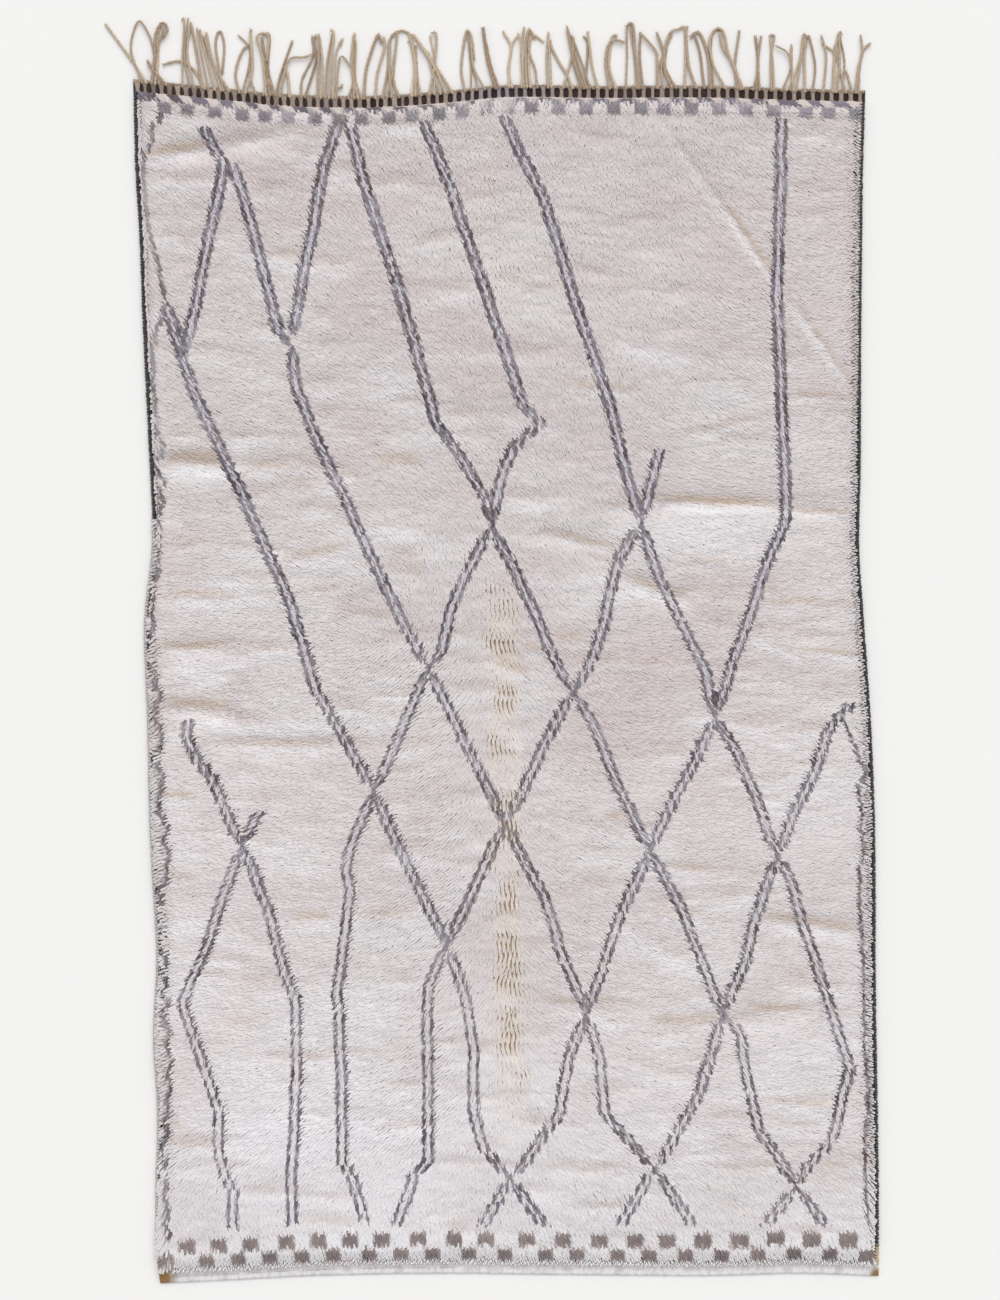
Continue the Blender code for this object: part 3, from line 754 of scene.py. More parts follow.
def raised(nodes, links, height, distance, strength, shader):
    """Bump on a shader's normal, from a pattern's height."""
    bump = nodes.new("ShaderNodeBump")
    bump.inputs["Distance"].default_value = distance
    bump.inputs["Strength"].default_value = strength
    links.new(height, bump.inputs["Height"])
    links.new(bump.outputs["Normal"], shader.inputs["Normal"])


def strand_wool(name, sheen=0.25, hair=0.35):
    """Spun wool coloured strand by strand, with fine hairs along each strand."""
    material, nodes, links, shader = finish_with(name, 0.92, sheen)
    wool = nodes.new("ShaderNodeAttribute")
    wool.attribute_name = "wool"
    along = nodes.new("ShaderNodeUVMap")
    along.uv_map = "strand"
    hairs = noise(nodes, links, along.outputs["UV"], 1.0, 3.0, (2600.0, 130.0, 1.0))
    darkest, lightest = 1.0 - hair * 0.25, 1.0 + hair * 0.16
    colour = tinted(nodes, links, wool.outputs["Color"], hairs, darkest, lightest)
    links.new(colour, shader.inputs["Base Color"])
    raised(nodes, links, hairs, 0.0004, 0.7, shader)
    return material


def woven_wool(name, weave_scale, stretch=(1.0, 1.0, 1.0), sheen=0.15):
    """Flatwoven wool coloured by its own attribute, with the grain of its weave."""
    material, nodes, links, shader = finish_with(name, 0.95, sheen)
    wool = nodes.new("ShaderNodeAttribute")
    wool.attribute_name = "wool"
    place = nodes.new("ShaderNodeTexCoord")
    grain = noise(nodes, links, place.outputs["Object"], weave_scale, 3.0, stretch)
    colour = tinted(nodes, links, wool.outputs["Color"], grain, 0.86, 1.10)
    links.new(colour, shader.inputs["Base Color"])
    raised(nodes, links, grain, 0.0006, 0.8, shader)
    return material


# ---------------------------------------------------------------- the pile
def lean_of(x, y):
    """The direction in which the pile lies at each place, as unit vectors."""
    heights = [row.y for row in LEANS]
    at = y + 0.010 * drift(87, x, y * 0, 0.05, 1.0)
    angles = np.stack([np.interp(at, heights, [getattr(row, column) for row in LEANS])
                       for column in Lean._fields[1:]])
    places = np.array(LEAN_PLACES)
    k = np.clip(np.searchsorted(places, x) - 1, 0, len(places) - 2)
    t = np.clip((x - places[k]) / (places[k + 1] - places[k]), 0, 1)
    here = np.arange(len(x))
    angle = np.radians(angles[k, here] * (1 - t) + angles[k + 1, here] * t)
    return np.stack([np.cos(angle), np.sin(angle)], -1)


def turned(vectors, angles):
    """Flat vectors turned by an angle each."""
    c, s = np.cos(angles), np.sin(angles)
    ahead, aside = vectors[:, 0], vectors[:, 1]
    return np.stack([ahead * c - aside * s, ahead * s + aside * c], -1)


def line_at(line, y):
    """How far across a drawn line is at each y; no number where it doesn't reach."""
    ys = np.array([point[1] for point in line[::-1]]) * CM
    xs = np.array([point[0] for point in line[::-1]]) * CM
    return np.interp(y, ys, xs, left=np.nan, right=np.nan)


def inside_check(centres, across, half, aside, tall_half):
    """How far each strand belongs to a row of checks, from 0 to 1 with soft edges."""
    wide = half - np.abs(across[:, None] - np.array(centres) * CM).min(axis=1)
    tall = tall_half - np.abs(aside)
    return np.clip(0.5 + np.minimum(wide, tall) / CHECK_EDGE, 0, 1)


Drawing = namedtuple("Drawing", "dark worn fill pull near tangent")


def drawing(x, y, knot_y, chance):
    """The drawn lines at each strand: dark, pale between, how it is drawn in, and its way."""
    count = len(x)
    dark, worn, fill, pull, near = (np.zeros(count) for _ in range(5))
    tangent = np.zeros((count, 2))
    flat = np.zeros(count)
    step_y = knot_y + 0.40 * (y - knot_y)
    pinch = np.ones(count)
    for cx, cy in CROSSINGS:
        far = np.hypot(x - cx * CM, (y - cy * CM) * 0.75)
        pinch = np.minimum(pinch, np.clip((far - PINCH_FROM) / PINCH_LONG, PINCH_LEAST, 1.0))
    lines = [(line, LINE_APART / 2) for line in DOUBLE_LINES]
    lines += [(line, 0.0) for line in BORDER_LINES]
    for number, (line, apart) in enumerate(lines):
        middle = line_at(line, step_y) + 0.0022 * drift(40 + number, flat, knot_y, 1.0, 0.045)
        slope = (line_at(line, step_y + 0.012) - line_at(line, step_y - 0.012)) / 0.024
        slope = np.nan_to_num(slope, nan=0.0)
        # The bands are bolder towards the fringe, and bolder or thinner for a hand's length.
        bolder = 0.12 * np.clip(y / 0.8, -1, 1) + 0.18 * drift(140 + number, flat, y, 1.0, 0.11)
        half = LINE_HALF * (1 + bolder)
        if apart == 0:
            # The single lines along the edges go to and fro as they run down.
            turns = step_y / ZIGZAG_LONG + 0.25 * drift(60 + number, flat, knot_y, 1.0, 0.09)
            zigzag = ZIGZAG_WIDE * np.clip((0.78 - y) / 0.2, 0.0, 1)
            swing = zigzag * (1 if line[0][0] < 0 else ZIGZAG_RIGHT)
            middle = middle + swing * (4 * np.abs(turns % 1.0 - 0.5) - 1)
            slope = slope + 4 * swing / ZIGZAG_LONG * np.sign(turns % 1.0 - 0.5)
        steep = np.sqrt(1 + slope**2)
        half = half * np.minimum(steep, 1.4) * (1 + 0.06 * chance)
        gap = apart * pinch
        if apart:
            half = half * (0.50 + 0.50 * pinch)
        off = x - middle
        for hand in ((-1, 1) if apart else (1,)):
            seed = 100 + 4 * number + hand
            place = y / STROKE_LONG + 0.37 * number + 0.25 * hand
            stroke = np.floor(place)
            joint = np.clip(np.abs(place - stroke - 0.5) - 0.36, 0, 0.14) / 0.14
            beside = off - hand * gap - 0.0014 * drift(seed, flat, stroke, 1.0, 0.31)
            share = np.clip(0.5 + (half - np.abs(beside)) / LINE_SOFT, 0, 1)
            share = np.nan_to_num(share, nan=0.0)
            in_dark = share > 0
            strength = 1.0
            if apart == 0:
                faded = np.interp(y, [fade.y for fade in BORDER_FADES],
                                  [fade.strength for fade in BORDER_FADES])
                faded = faded + 0.25 * drift(70 + number, flat, knot_y, 1.0, 0.07)
                strength = np.clip(faded, 0.3, 1)
            dark = np.maximum(dark, strength * share)
            own_worn = 0.18 + 0.30 * drift(seed + 200, flat, stroke, 1.0, 0.31) + 0.18 * joint
            own_worn = own_worn + 0.20 * (1 - pinch) * (apart > 0)
            worn = np.where(in_dark, own_worn, worn)
            pull = np.where(in_dark, -0.35 * beside, pull)
        fill = np.where(np.abs(off) < gap, 1.0, fill)
        outside = np.maximum(np.abs(off) - gap, 0)
        closeness = np.nan_to_num(np.exp(-((outside / NEAR_LINE) ** 2)), nan=0.0)
        nearer = closeness > near
        near = np.where(nearer, closeness, near)
        tangent[nearer] = np.stack([-slope / steep, -1 / steep], -1)[nearer]
    return Drawing(dark, worn, fill, pull, near, tangent)


def streak_painted_light(x, y):
    """How far each strand lies in a streak's painted shade, tan on its upper lip, and in its painted
    highlight, bright on its lower lip.
    """
    tan, bright = np.zeros(len(x)), np.zeros(len(x))
    bent = y + 0.004 * drift(14, x, y, 0.05, 0.05)
    for streak in STREAKS:
        run_x, run_y = streak.x1 - streak.x0, streak.y1 - streak.y0
        run = math.hypot(run_x, run_y)
        t = ((x - streak.x0) * run_x + (bent - streak.y0) * run_y) / run**2
        fade = np.clip(1.15 * np.sin(np.pi * np.clip(t, 0, 1)), 0, 1) ** 0.7
        aside = ((bent - streak.y0) * run_x - (x - streak.x0) * run_y) / run
        above = (aside - 0.5 * streak.tall) / (0.55 * streak.tall)
        below = (aside + 0.6 * streak.tall) / (0.70 * streak.tall)
        tan = np.maximum(tan, streak.tan * fade * np.exp(-(above**2)))
        bright = np.maximum(bright, streak.lit * fade * np.exp(-(below**2)))
    return np.clip(tan, 0, 1.1), np.clip(bright, 0, 1.1)


def cloud(x, y):
    """Long soft clouds, wider than tall, from about -1 to 1."""
    bent = y + 0.010 * drift(4, x, y * 0, 0.16, 1.0) + 0.06 * x * np.clip(y, 0, 1)
    return 0.8 * drift(5, x, bent, 0.150, 0.030) + 0.45 * drift(6, x, bent, 0.060, 0.014)


def ivory(x, y):
    """The undyed wool: pinker towards the fringe and whiter towards the plain end."""
    cool = 0.14 - 0.28 * y + 0.22 * drift(3, x, y, 0.20, 0.09)
    pink = 0.30 + 0.65 * drift(2, x, y, 0.13, 0.08)
    for patch in PATCHES:
        nearby = np.exp(-(((x - patch.x) / patch.wide) ** 2) - ((y - patch.y) / patch.tall) ** 2)
        cool = cool + patch.white * nearby
        pink = pink + patch.pink * nearby
    colour = blend(IVORY_PLAIN, IVORY_COOL, np.clip(cool, 0, 1))
    return blend(colour, IVORY_PINK, np.clip(pink, 0, 1) * np.clip(1 - 1.2 * cool, 0.25, 1))


def drawn_colours(across, along, x, y, chance, drawn):
    """The wool colour of each strand of the pile, with painted shade and painted highlights."""
    spin = np.random.default_rng(12)
    count = len(x)
    colour = ivory(x, y)
    quiet = 1 - 0.55 * np.clip((x - 0.02) / 0.15, 0, 1) * np.clip((y - 0.36) / 0.1, 0, 1)
    # The long clouds are painted as shade, a pinkish tan where the pile sinks in its soft hollows,
    # with a painted highlight just below each.
    colour = blend(colour, CLOUD_SHADE_TAN, np.clip(cloud(x, y) - 0.25, 0, 0.6) * 0.85 * quiet)
    cloud_lip_highlight = np.clip(cloud(x, y + 0.026) - 0.22, 0, 0.8)
    colour = blend(colour, IVORY_WHITE_AND_HIGHLIGHT, cloud_lip_highlight * 0.55 * quiet)
    # Long soft painted highlights: patches of the pile painted brighter.
    bright = drift(7, x, y, 0.17, 0.045) + 0.5 * drift(8, x, y, 0.06, 0.02)
    colour = blend(colour, IVORY_WHITE_AND_HIGHLIGHT, np.clip(bright - 0.45, 0, 1) * 0.5 * quiet)
    opened = parting_at(x, y)[0]
    tan, lit = streak_painted_light(x, y)
    # Painted shade, tan above each small crease, and painted highlight, bright below it.
    colour = blend(colour, CREASE_SHADE_TAN, 0.80 * tan)
    colour = blend(colour, IVORY_WHITE_AND_HIGHLIGHT, 0.80 * lit)
    # The parted strands are painted a paler cream as painted highlight.
    colour = blend(colour, PARTING_HIGHLIGHT_CREAM, opened * 0.50)
    tone = 0.022 * spin.standard_normal(count) + 0.026 * drift(9, x, y, 0.020, 0.006)
    tone = tone + 0.024 * drift(10, x, y, 0.050, 0.018)
    colour = colour * (1 + tone[:, None])

    brownish = np.clip(0.5 + 0.9 * drift(21, x, y, 0.10, 0.08), 0, 1)
    worn = np.clip(drawn.worn + 0.16 * drift(22, x, y, 0.08, 0.06) + 0.08 * chance, 0, 0.80)
    grey = blend(LINE_GREY, LINE_BROWN, brownish)
    grey = blend(grey, LINE_LILAC, 0.25 * np.clip((-1.12 - y) / 0.08, 0, 1))
    grey = blend(grey, LINE_FILL, worn)
    # Between the two bands the wool is lilac towards the fringe and plain ivory further down.
    lilac = np.clip(0.72 + 0.45 * y, 0.22, 1)
    lilac = lilac * np.clip(0.90 + 0.15 * spin.standard_normal(count), 0, 1)
    colour = blend(colour, LINE_FILL * (1 + 0.07 * chance[:, None]), drawn.fill * lilac)
    colour = colour + (grey - colour) * drawn.dark[:, None]
    colour = end_checks(colour, across, along, x, y, chance)
    colour = heading_checks(colour, across, along, x, y, chance)
    return np.clip(colour, 0.01, 0.94)


def end_checks(colour, across, along, x, y, chance):
    """Two staggered rows of brown checks on white at the plain end, bolder to the right."""
    bolder_by = np.clip(across / 0.7, 0, 1)
    bolder = 1 + 0.14 * bolder_by
    fuzzy = along - 0.0014 * chance
    upper = inside_check(UPPER_CHECKS, across, CHECK_HALF * bolder, fuzzy - UPPER_CHECK_ALONG,
                         CHECK_TALL_HALF * bolder)
    lower = inside_check(LOWER_CHECKS, across, CHECK_HALF * 0.92, fuzzy - LOWER_CHECK_ALONG,
                         CHECK_TALL_HALF * 0.86)
    check = np.maximum(upper, lower)
    # Below the upper checks the wool is painted whiter: the white ground of the checks, and painted
    # light against the shade of the rim that slopes down to the end band.
    whiter = np.clip((UPPER_CHECK_ALONG + CHECK_TALL_HALF + 0.006 - along) / 0.012, 0, 1)
    colour = blend(colour, IVORY_WHITE_AND_HIGHLIGHT, 0.45 * whiter)
    brown = blend(CHECK_BROWN, LINE_GREY, np.clip(0.16 + 0.30 * drift(31, x, y, 0.03, 0.05), 0, 1))
    tone = 0.97 + 0.06 * chance + 0.12 * drift(32, x, y, 0.012, 0.006) - 0.10 * bolder_by
    brown = brown * tone[:, None]
    return blend(colour, brown, check)


def heading_checks(colour, across, along, x, y, chance):
    """Under the heading: pale and dark lumps by turns, and a slate check below each pale one."""
    down = FIELD_HIGH - along
    lump_tall = TOP_LUMP_TALL + 0.004 * np.clip((-0.45 - x) / 0.2, 0, 1)
    slanting = across - 0.5 * (down - lump_tall / 2)
    pale = inside_check(TOP_CHECKS, slanting, TOP_CHECK_HALF * 0.86, down - lump_tall / 2,
                        lump_tall / 2 + 0.002)
    first = np.clip(0.5 + (lump_tall - down) / CHECK_EDGE, 0, 1)
    # Left of the middle both rows dissolve into dark and white strands.
    broken = np.clip(1 - np.abs(x + 0.015) / 0.085, 0, 1) ** 0.5
    mixed = np.clip(0.5 + 1.6 * drift(34, x, y, 0.009, 0.06), 0, 1)
    dark = blend(TOP_DARK, LINE_LILAC, np.clip(0.30 + 0.5 * drift(35, x, y, 0.07, 0.05), 0, 0.8))
    dark = dark * (1 + 0.08 * chance)[:, None]
    colour = blend(colour, dark, first * (1 - pale) * (1 - broken + broken * mixed))
    colour = blend(colour, LUMP_PALE * (1 + 0.05 * chance)[:, None], pale * (1 - 0.5 * broken))
    middle = lump_tall + TOP_CHECK_TALL_HALF + 0.0005
    check = inside_check(TOP_CHECKS, across, TOP_CHECK_HALF + 0.0005, down - middle,
                         TOP_CHECK_TALL_HALF)
    slate = blend(SLATE, LINE_FILL, np.clip(0.12 + 0.35 * drift(33, x, y, 0.05, 0.05), 0, 0.5))
    slate = slate * (1 + 0.06 * chance)[:, None]
    return blend(colour, slate, check * (1 - broken + broken * mixed))


Knots = namedtuple("Knots", "across along own_across own_along row rows")


def knots_in_rows(spin):
    """Where the upper end of each strand shows, with the place and the row of its knot."""
    columns, rows = round(2 * FIELD_HALF / KNOT_WIDE), round((FIELD_HIGH - FIELD_LOW) / ROW_LONG)
    knot_wide, row_long = 2 * FIELD_HALF / columns, (FIELD_HIGH - FIELD_LOW) / rows
    column, row = np.meshgrid(np.arange(columns), np.arange(rows))
    knot_across = -FIELD_HALF + (column.ravel() + 0.5) * knot_wide
    knot_along = FIELD_LOW + (row.ravel() + 0.5) * row_long
    # The strands of a knot, staggered so that they close the pile whichever way it lies.
    strand = np.arange(STRANDS)
    offset_across = (strand * 0.382 + 0.12) % 1.0 - 0.5
    offset_along = (strand + 0.5) / STRANDS - 0.5
    across = (knot_across[:, None] + offset_across * knot_wide).ravel()
    along = (knot_along[:, None] + offset_along * row_long).ravel()
    across = across + spin.uniform(-STRAND_ASTRAY, STRAND_ASTRAY, len(across))
    along = along + spin.uniform(-STRAND_ASTRAY, STRAND_ASTRAY, len(along))
    own_across, own_along, own_row = (
        np.repeat(knot, STRANDS) for knot in (knot_across, knot_along, row.ravel()))
    return Knots(across, along, own_across, own_along, own_row, rows)


def pile_ways(spin, x, y, chance, drawn, inside, parting_x):
    """Which way each strand lies: as the pile does, along a drawn line or down the parting."""
    wave = 0.20 * drift(81, x, y, 0.10, 0.06) + 0.14 * drift(82, x, y, 0.035, 0.025)
    splay = 0.15 * spin.standard_normal(len(x))
    way = turned(lean_of(x, y), wave + splay)
    along_line = 0.70 * drawn.near[:, None]
    way = way * (1 - along_line) + turned(drawn.tangent, 0.5 * splay) * along_line
    way /= np.linalg.norm(way, axis=1, keepdims=True)
    fanned = 0.35 * (x - parting_x) / PARTING_HALF + 0.50 * drift(83, x, y, 0.032, 0.040)
    down = np.stack([fanned + 0.06 * chance, -np.ones(len(x))], -1)
    way = way * (1 - inside[:, None]) + down * inside[:, None] * 1.4
    return way / np.linalg.norm(way, axis=1, keepdims=True)


def lapped(across, root_across, tip_across, x, y, chance, dark):
    """The outermost strands fall over the selvedges, furthest on the left from the middle down."""
    fuzz = 0.0022 * chance + 0.0016 * drift(88, x, y, 0.5, 0.02)
    left_lap = np.interp(y, [lap.y for lap in LEFT_LAPS], [lap.far for lap in LEFT_LAPS])
    left_deep, right_deep = np.clip(left_lap / LAP_FULL, 0, 1), 0.3
    for hand, lap, deep in ((-1, left_lap, left_deep), (1, RIGHT_LAP, right_deep)):
        reach_in = 0.0065 + 0.0135 * deep
        outermost = np.clip(1.6 * (1 - (FIELD_HALF - hand * across) / reach_in), 0, 1)
        outermost = outermost * (1 - 0.8 * dark)
        tip_across = tip_across + outermost * (hand * (FIELD_HALF + (lap + fuzz)) - tip_across)
        rooted = hand * (FIELD_HALF - LAP_ROOTS_IN)
        root_across = root_across + outermost * deep * (rooted - root_across)
    return root_across, np.clip(tip_across, -FIELD_HALF - LAP_MOST_LEFT, FIELD_HALF + LAP_MOST_RIGHT)


def on_wraps(place, z, flop):
    """The height of a point on a strand, which rests on the selvedge where it laps over it."""
    half = SELVEDGE_WIDE / 2
    over = np.clip((np.abs(place) - RUG_WIDE / 2 + half) / (half - SELVEDGE_YARN), -1, 1)
    crest = SELVEDGE_HIGH * (0.5 + 0.42 * np.sqrt(1 - over**2)) + 0.0027
    return np.where(np.abs(place) > FIELD_HALF, np.maximum(z, crest + 0.0006 * flop), z)


def knotted_pile(material):
    """The pile, strand by strand, each placed by where its upper end shows. Bands of rows."""
    spin = np.random.default_rng(7)
    side, low, high = FIELD_HALF, FIELD_LOW, FIELD_HIGH
    knots = knots_in_rows(spin)
    across, along = knots.across, knots.along
    count = len(across)
    x, y = lie(across, along)
    knot_y = lie(knots.own_across, knots.own_along)[1]
    chance = spin.uniform(-1, 1, count)
    drawn = drawing(x, y, knot_y, chance)
    colour = drawn_colours(across, along, x, y, chance, drawn)
    across, x = across + drawn.pull, x + drawn.pull
    opened, parting_x = parting_at(x, y)
    inside = opened * np.clip(0.52 + 1.5 * drift(86, x, y, 0.050, 0.034), 0, 1)
    way = pile_ways(spin, x, y, chance, drawn, inside, parting_x)

    # The pile is clipped short under the heading, and the strands of the lines are finer.
    clipped = np.clip((along - high + 0.052) / 0.010, 0, 1)
    length = STRAND_LONG * (1 + 0.10 * spin.standard_normal(count)) * (1 - 0.20 * inside)
    length = length * (1 - 0.42 * clipped) * (1 - 0.22 * drawn.near)
    width = STRAND_WIDE * (1 + 0.15 * spin.standard_normal(count)) * (1 - 0.35 * inside)
    width = width * (1 - 0.20 * drawn.dark)
    # In the parting the strands of one knot stay together, rows staggered like scales.
    scale_across = knots.own_across + 0.0026 * (1 - 2 * (knots.row % 2))
    across = across + (scale_across - across) * inside * 0.72
    tip_across = across + way[:, 0] * length * (1 - SHOWN_AT)
    tip_along = along + way[:, 1] * length * (1 - SHOWN_AT)
    root_across = across - way[:, 0] * length * SHOWN_AT
    root_along = along - way[:, 1] * length * SHOWN_AT
    root_across = np.clip(root_across, -side + ROOT_IN, side - ROOT_IN)
    root_along = np.clip(root_along, low + ROOT_IN, high - ROOT_IN)
    root_across, tip_across = lapped(across, root_across, tip_across, x, y, chance, drawn.dark)
    tip_along = np.clip(tip_along, low - 0.004, high + 0.003)
    tip_x, tip_y = lie(tip_across, tip_along)
    root_x, root_y = lie(root_across, root_along)
    run = np.stack([tip_x - root_x, tip_y - root_y], -1)
    lying = np.maximum(np.linalg.norm(run, axis=1), 1e-4)
    run = run / lying[:, None]
    aside = np.stack([-run[:, 1], run[:, 0]], -1)

    def surface(px, py):
        """The pile's surface as it lies, with its small soft hollows."""
        inner_across = np.clip(across + (px - x), -side, side)
        inner_along = np.clip(along + (py - y), low, high)
        hollows = -0.0012 * np.clip(cloud(px, py), 0, 1) + 0.0005 * drift(85, px, py, 0.03, 0.015)
        return pile_top(inner_across, inner_along, px, py) + hollows

    top = surface(x, y)
    reach = 0.004
    rise_x, rise_y = surface(x + reach, y), surface(x, y + reach)
    slope_x = np.clip((rise_x - surface(x - reach, y)) / (2 * reach), -SLOPE, SLOPE)
    slope_y = np.clip((rise_y - surface(x, y - reach)) / (2 * reach), -SLOPE, SLOPE)
    flop = spin.uniform(0, 1, count)
    middle_across = root_across + BEND_AT * (tip_across - root_across)
    tip_z = on_wraps(tip_across, top - 0.0012 - 0.0016 * flop, flop)
    middle_z = on_wraps(middle_across, top - 0.0028 - 0.0010 * flop, flop)
    root_z = ground_top(np.clip(root_across, -side, side), np.clip(root_along, low, high)) - 0.003

    def pair(share, wide, z):
        """The two corners of a strand at a share of its length."""
        middle_x = root_x + run[:, 0] * lying * share
        middle_y = root_y + run[:, 1] * lying * share
        half_x, half_y = aside[:, 0] * wide / 2, aside[:, 1] * wide / 2
        left = np.stack([middle_x + half_x, middle_y + half_y, z], -1)
        right = np.stack([middle_x - half_x, middle_y - half_y, z], -1)
        return left, right

    # A strand is a long wedge: its root below, a pair of corners midway and a pair at its end.
    root = np.stack([root_x, root_y, root_z], -1)
    rising = BEND_AT - 0.40 * np.clip(1 - (high - root_along) / 0.008, 0, 1)
    points = np.stack(
        [root, *pair(rising, width, middle_z), *pair(1.0, width * TIP_NARROW, tip_z)], 1)
    # Painted shade: each strand is darker and tan towards its root, deep in the pile, and tan midway
    # in the parting; a little lighter at its upper end.
    root_colour = blend(colour * 0.8, ROOT_SHADE_TAN, np.full(count, 0.4))
    middle_colour = blend(colour * 0.97, ROOT_SHADE_TAN, 0.05 + 0.20 * inside)
    tip_colour = np.clip(colour * 1.02, 0, 0.95)
    shades = np.stack([root_colour, *[middle_colour] * 2, *[tip_colour] * 2], 1)
    soft = soft_shading(run, aside, slope_x, slope_y)
    return pile_bands(spin, knots, points, shades, soft, material)


def soft_shading(run, aside, slope_x, slope_y):
    """Round shading for each corner of a strand's faces, so that it looks fuzzy, not flat."""
    count = len(run)
    run3 = np.concatenate([run, np.zeros((count, 1))], 1)
    aside3 = np.concatenate([aside, np.zeros((count, 1))], 1)
    up3 = np.stack([-slope_x * RELIEF, -slope_y * RELIEF, np.ones(count)], -1)
    left_soft, right_soft = up3 + ROUNDNESS * aside3, up3 - ROUNDNESS * aside3
    left_end, right_end = left_soft + 0.12 * run3, right_soft + 0.12 * run3
    back, under = up3 - 0.3 * run3, 0.6 * run3 - up3
    soft = np.stack([
        back, right_soft, left_soft,
        aside3, left_soft + aside3, left_end + aside3,
        -aside3, right_end - aside3, right_soft - aside3,
        under, under, under,
        left_soft, right_soft, right_end, left_end,
    ], 1)
    return soft / np.linalg.norm(soft, axis=2, keepdims=True)


def pile_bands(spin, knots, points, shades, soft, material):
    """The strands as meshes, a band of rows to each. A strand has 4 triangles and 1 quad."""
    triangles = np.array([(0, 2, 1), (0, 1, 3), (0, 4, 2), (0, 3, 4)])
    quads = np.array([(1, 2, 4, 3)])
    # Corner places on a strand's own tile: front, left side, right side, underside, then top.
    tile = np.array([
        (0.5, 0.05), (0.85, 0.5), (0.15, 0.5),
        (0.0, 0.1), (0.12, 0.5), (0.12, 1.0),
        (1.0, 0.1), (0.88, 1.0), (0.88, 0.5),
        (0.5, 0.02), (0.4, 0.0), (0.6, 0.0),
        (0.15, 0.5), (0.85, 0.5), (0.85, 1.0), (0.15, 1.0),
    ])
    of_triangles = triangles.size

    def by_face(corners):
        """Values at the corners of each strand's faces, all triangles first and then all quads."""
        wide = corners.shape[2]
        return np.concatenate([corners[:, :of_triangles].reshape(-1, wide),
                               corners[:, of_triangles:].reshape(-1, wide)])

    made = []
    for number in range(PILE_BANDS):
        chosen = np.flatnonzero((knots.row * PILE_BANDS) // knots.rows == number)
        size = len(chosen)
        firsts = (np.arange(size) * points.shape[1])[:, None, None]
        faces = (firsts + triangles).reshape(-1, 3), (firsts + quads).reshape(-1, 4)
        # One map gives each strand its own tile, and the other its real size, for the hairs.
        tiles = math.ceil(math.sqrt(size))
        corner = np.stack([np.arange(size) % tiles, np.arange(size) // tiles], -1)[:, None]
        own = by_face(corner + 0.06 + 0.88 * tile[None]) / tiles
        start = spin.uniform(0, 5, (size, 1, 2))
        hair = by_face(start + tile[None] * np.array((STRAND_WIDE, STRAND_LONG)))
        made.append(piece(
            f"pile_{number + 1}", points[chosen].reshape(-1, 3), faces, material,
            shades[chosen].reshape(-1, 3), (("OFBake", own), ("strand", hair)),
            by_face(soft[chosen])))
    return made


def parting_at(x, y):
    """How far the pile is parted at each place, and where the parting's middle is."""
    flat = x * 0
    wobble = 0.006 * drift(80, flat, y, 1.0, 0.11)
    middle = read(PARTING, y, "x") + wobble + 0.007 * drift(78, flat, y, 1.0, 0.035)
    opened = np.clip(read(PARTING, y, "open"), 0, 1)
    wider = 1 + 0.55 * np.exp(-(((y - 0.15) / 0.09) ** 2)) + 0.30 * drift(79, flat, y, 1.0, 0.05)
    return opened * np.exp(-(((x - middle) / (PARTING_HALF * wider)) ** 4)), middle


def ground_top(across, along):
    """The height of the matted wool under the strands' upper ends."""
    side, low, high = FIELD_HALF - SEAM, FIELD_LOW + SEAM, FIELD_HIGH - SEAM
    x, y = lie(across, along)
    under = pile_top(across, along, x, y) - PILE_HIGH
    nearest = np.minimum(side - np.abs(across), np.minimum(along - low, high - along))
    rim = np.clip(nearest / 0.02, 0, 1)
    opened = parting_at(x, y)[0]
    risen = (GROUND_HIGH - GROUND_RIM + 0.6 * under) * rim * (2 - rim)
    return GROUND_RIM + risen - 0.0035 * opened


def ground_cloth(material):
    """The matted lower pile and the ground that holds its knots: a closed sheet."""
    side, low, high = FIELD_HALF - SEAM, FIELD_LOW + SEAM, FIELD_HIGH - SEAM
    across, along = np.meshgrid(np.linspace(-side, side, 81), np.linspace(low, high, 121))
    x, y = lie(across, along)
    points, quads = flat_sheet(x, y, ground_top(across, along))
    opened = parting_at(points[:, 0], points[:, 1])[0]
    # The lower wool is its ivory painted a little darker as shade in the gaps between strands, and
    # tan as painted shade where the parting opens.
    colours = blend(GROUND_IVORY_SHADED, ROOT_SHADE_TAN, np.clip(opened * 1.3, 0, 1))
    colours[len(points) // 2:] = GROUND_UNDER
    return piece("rug_ground", points, (quads,), material, colours)


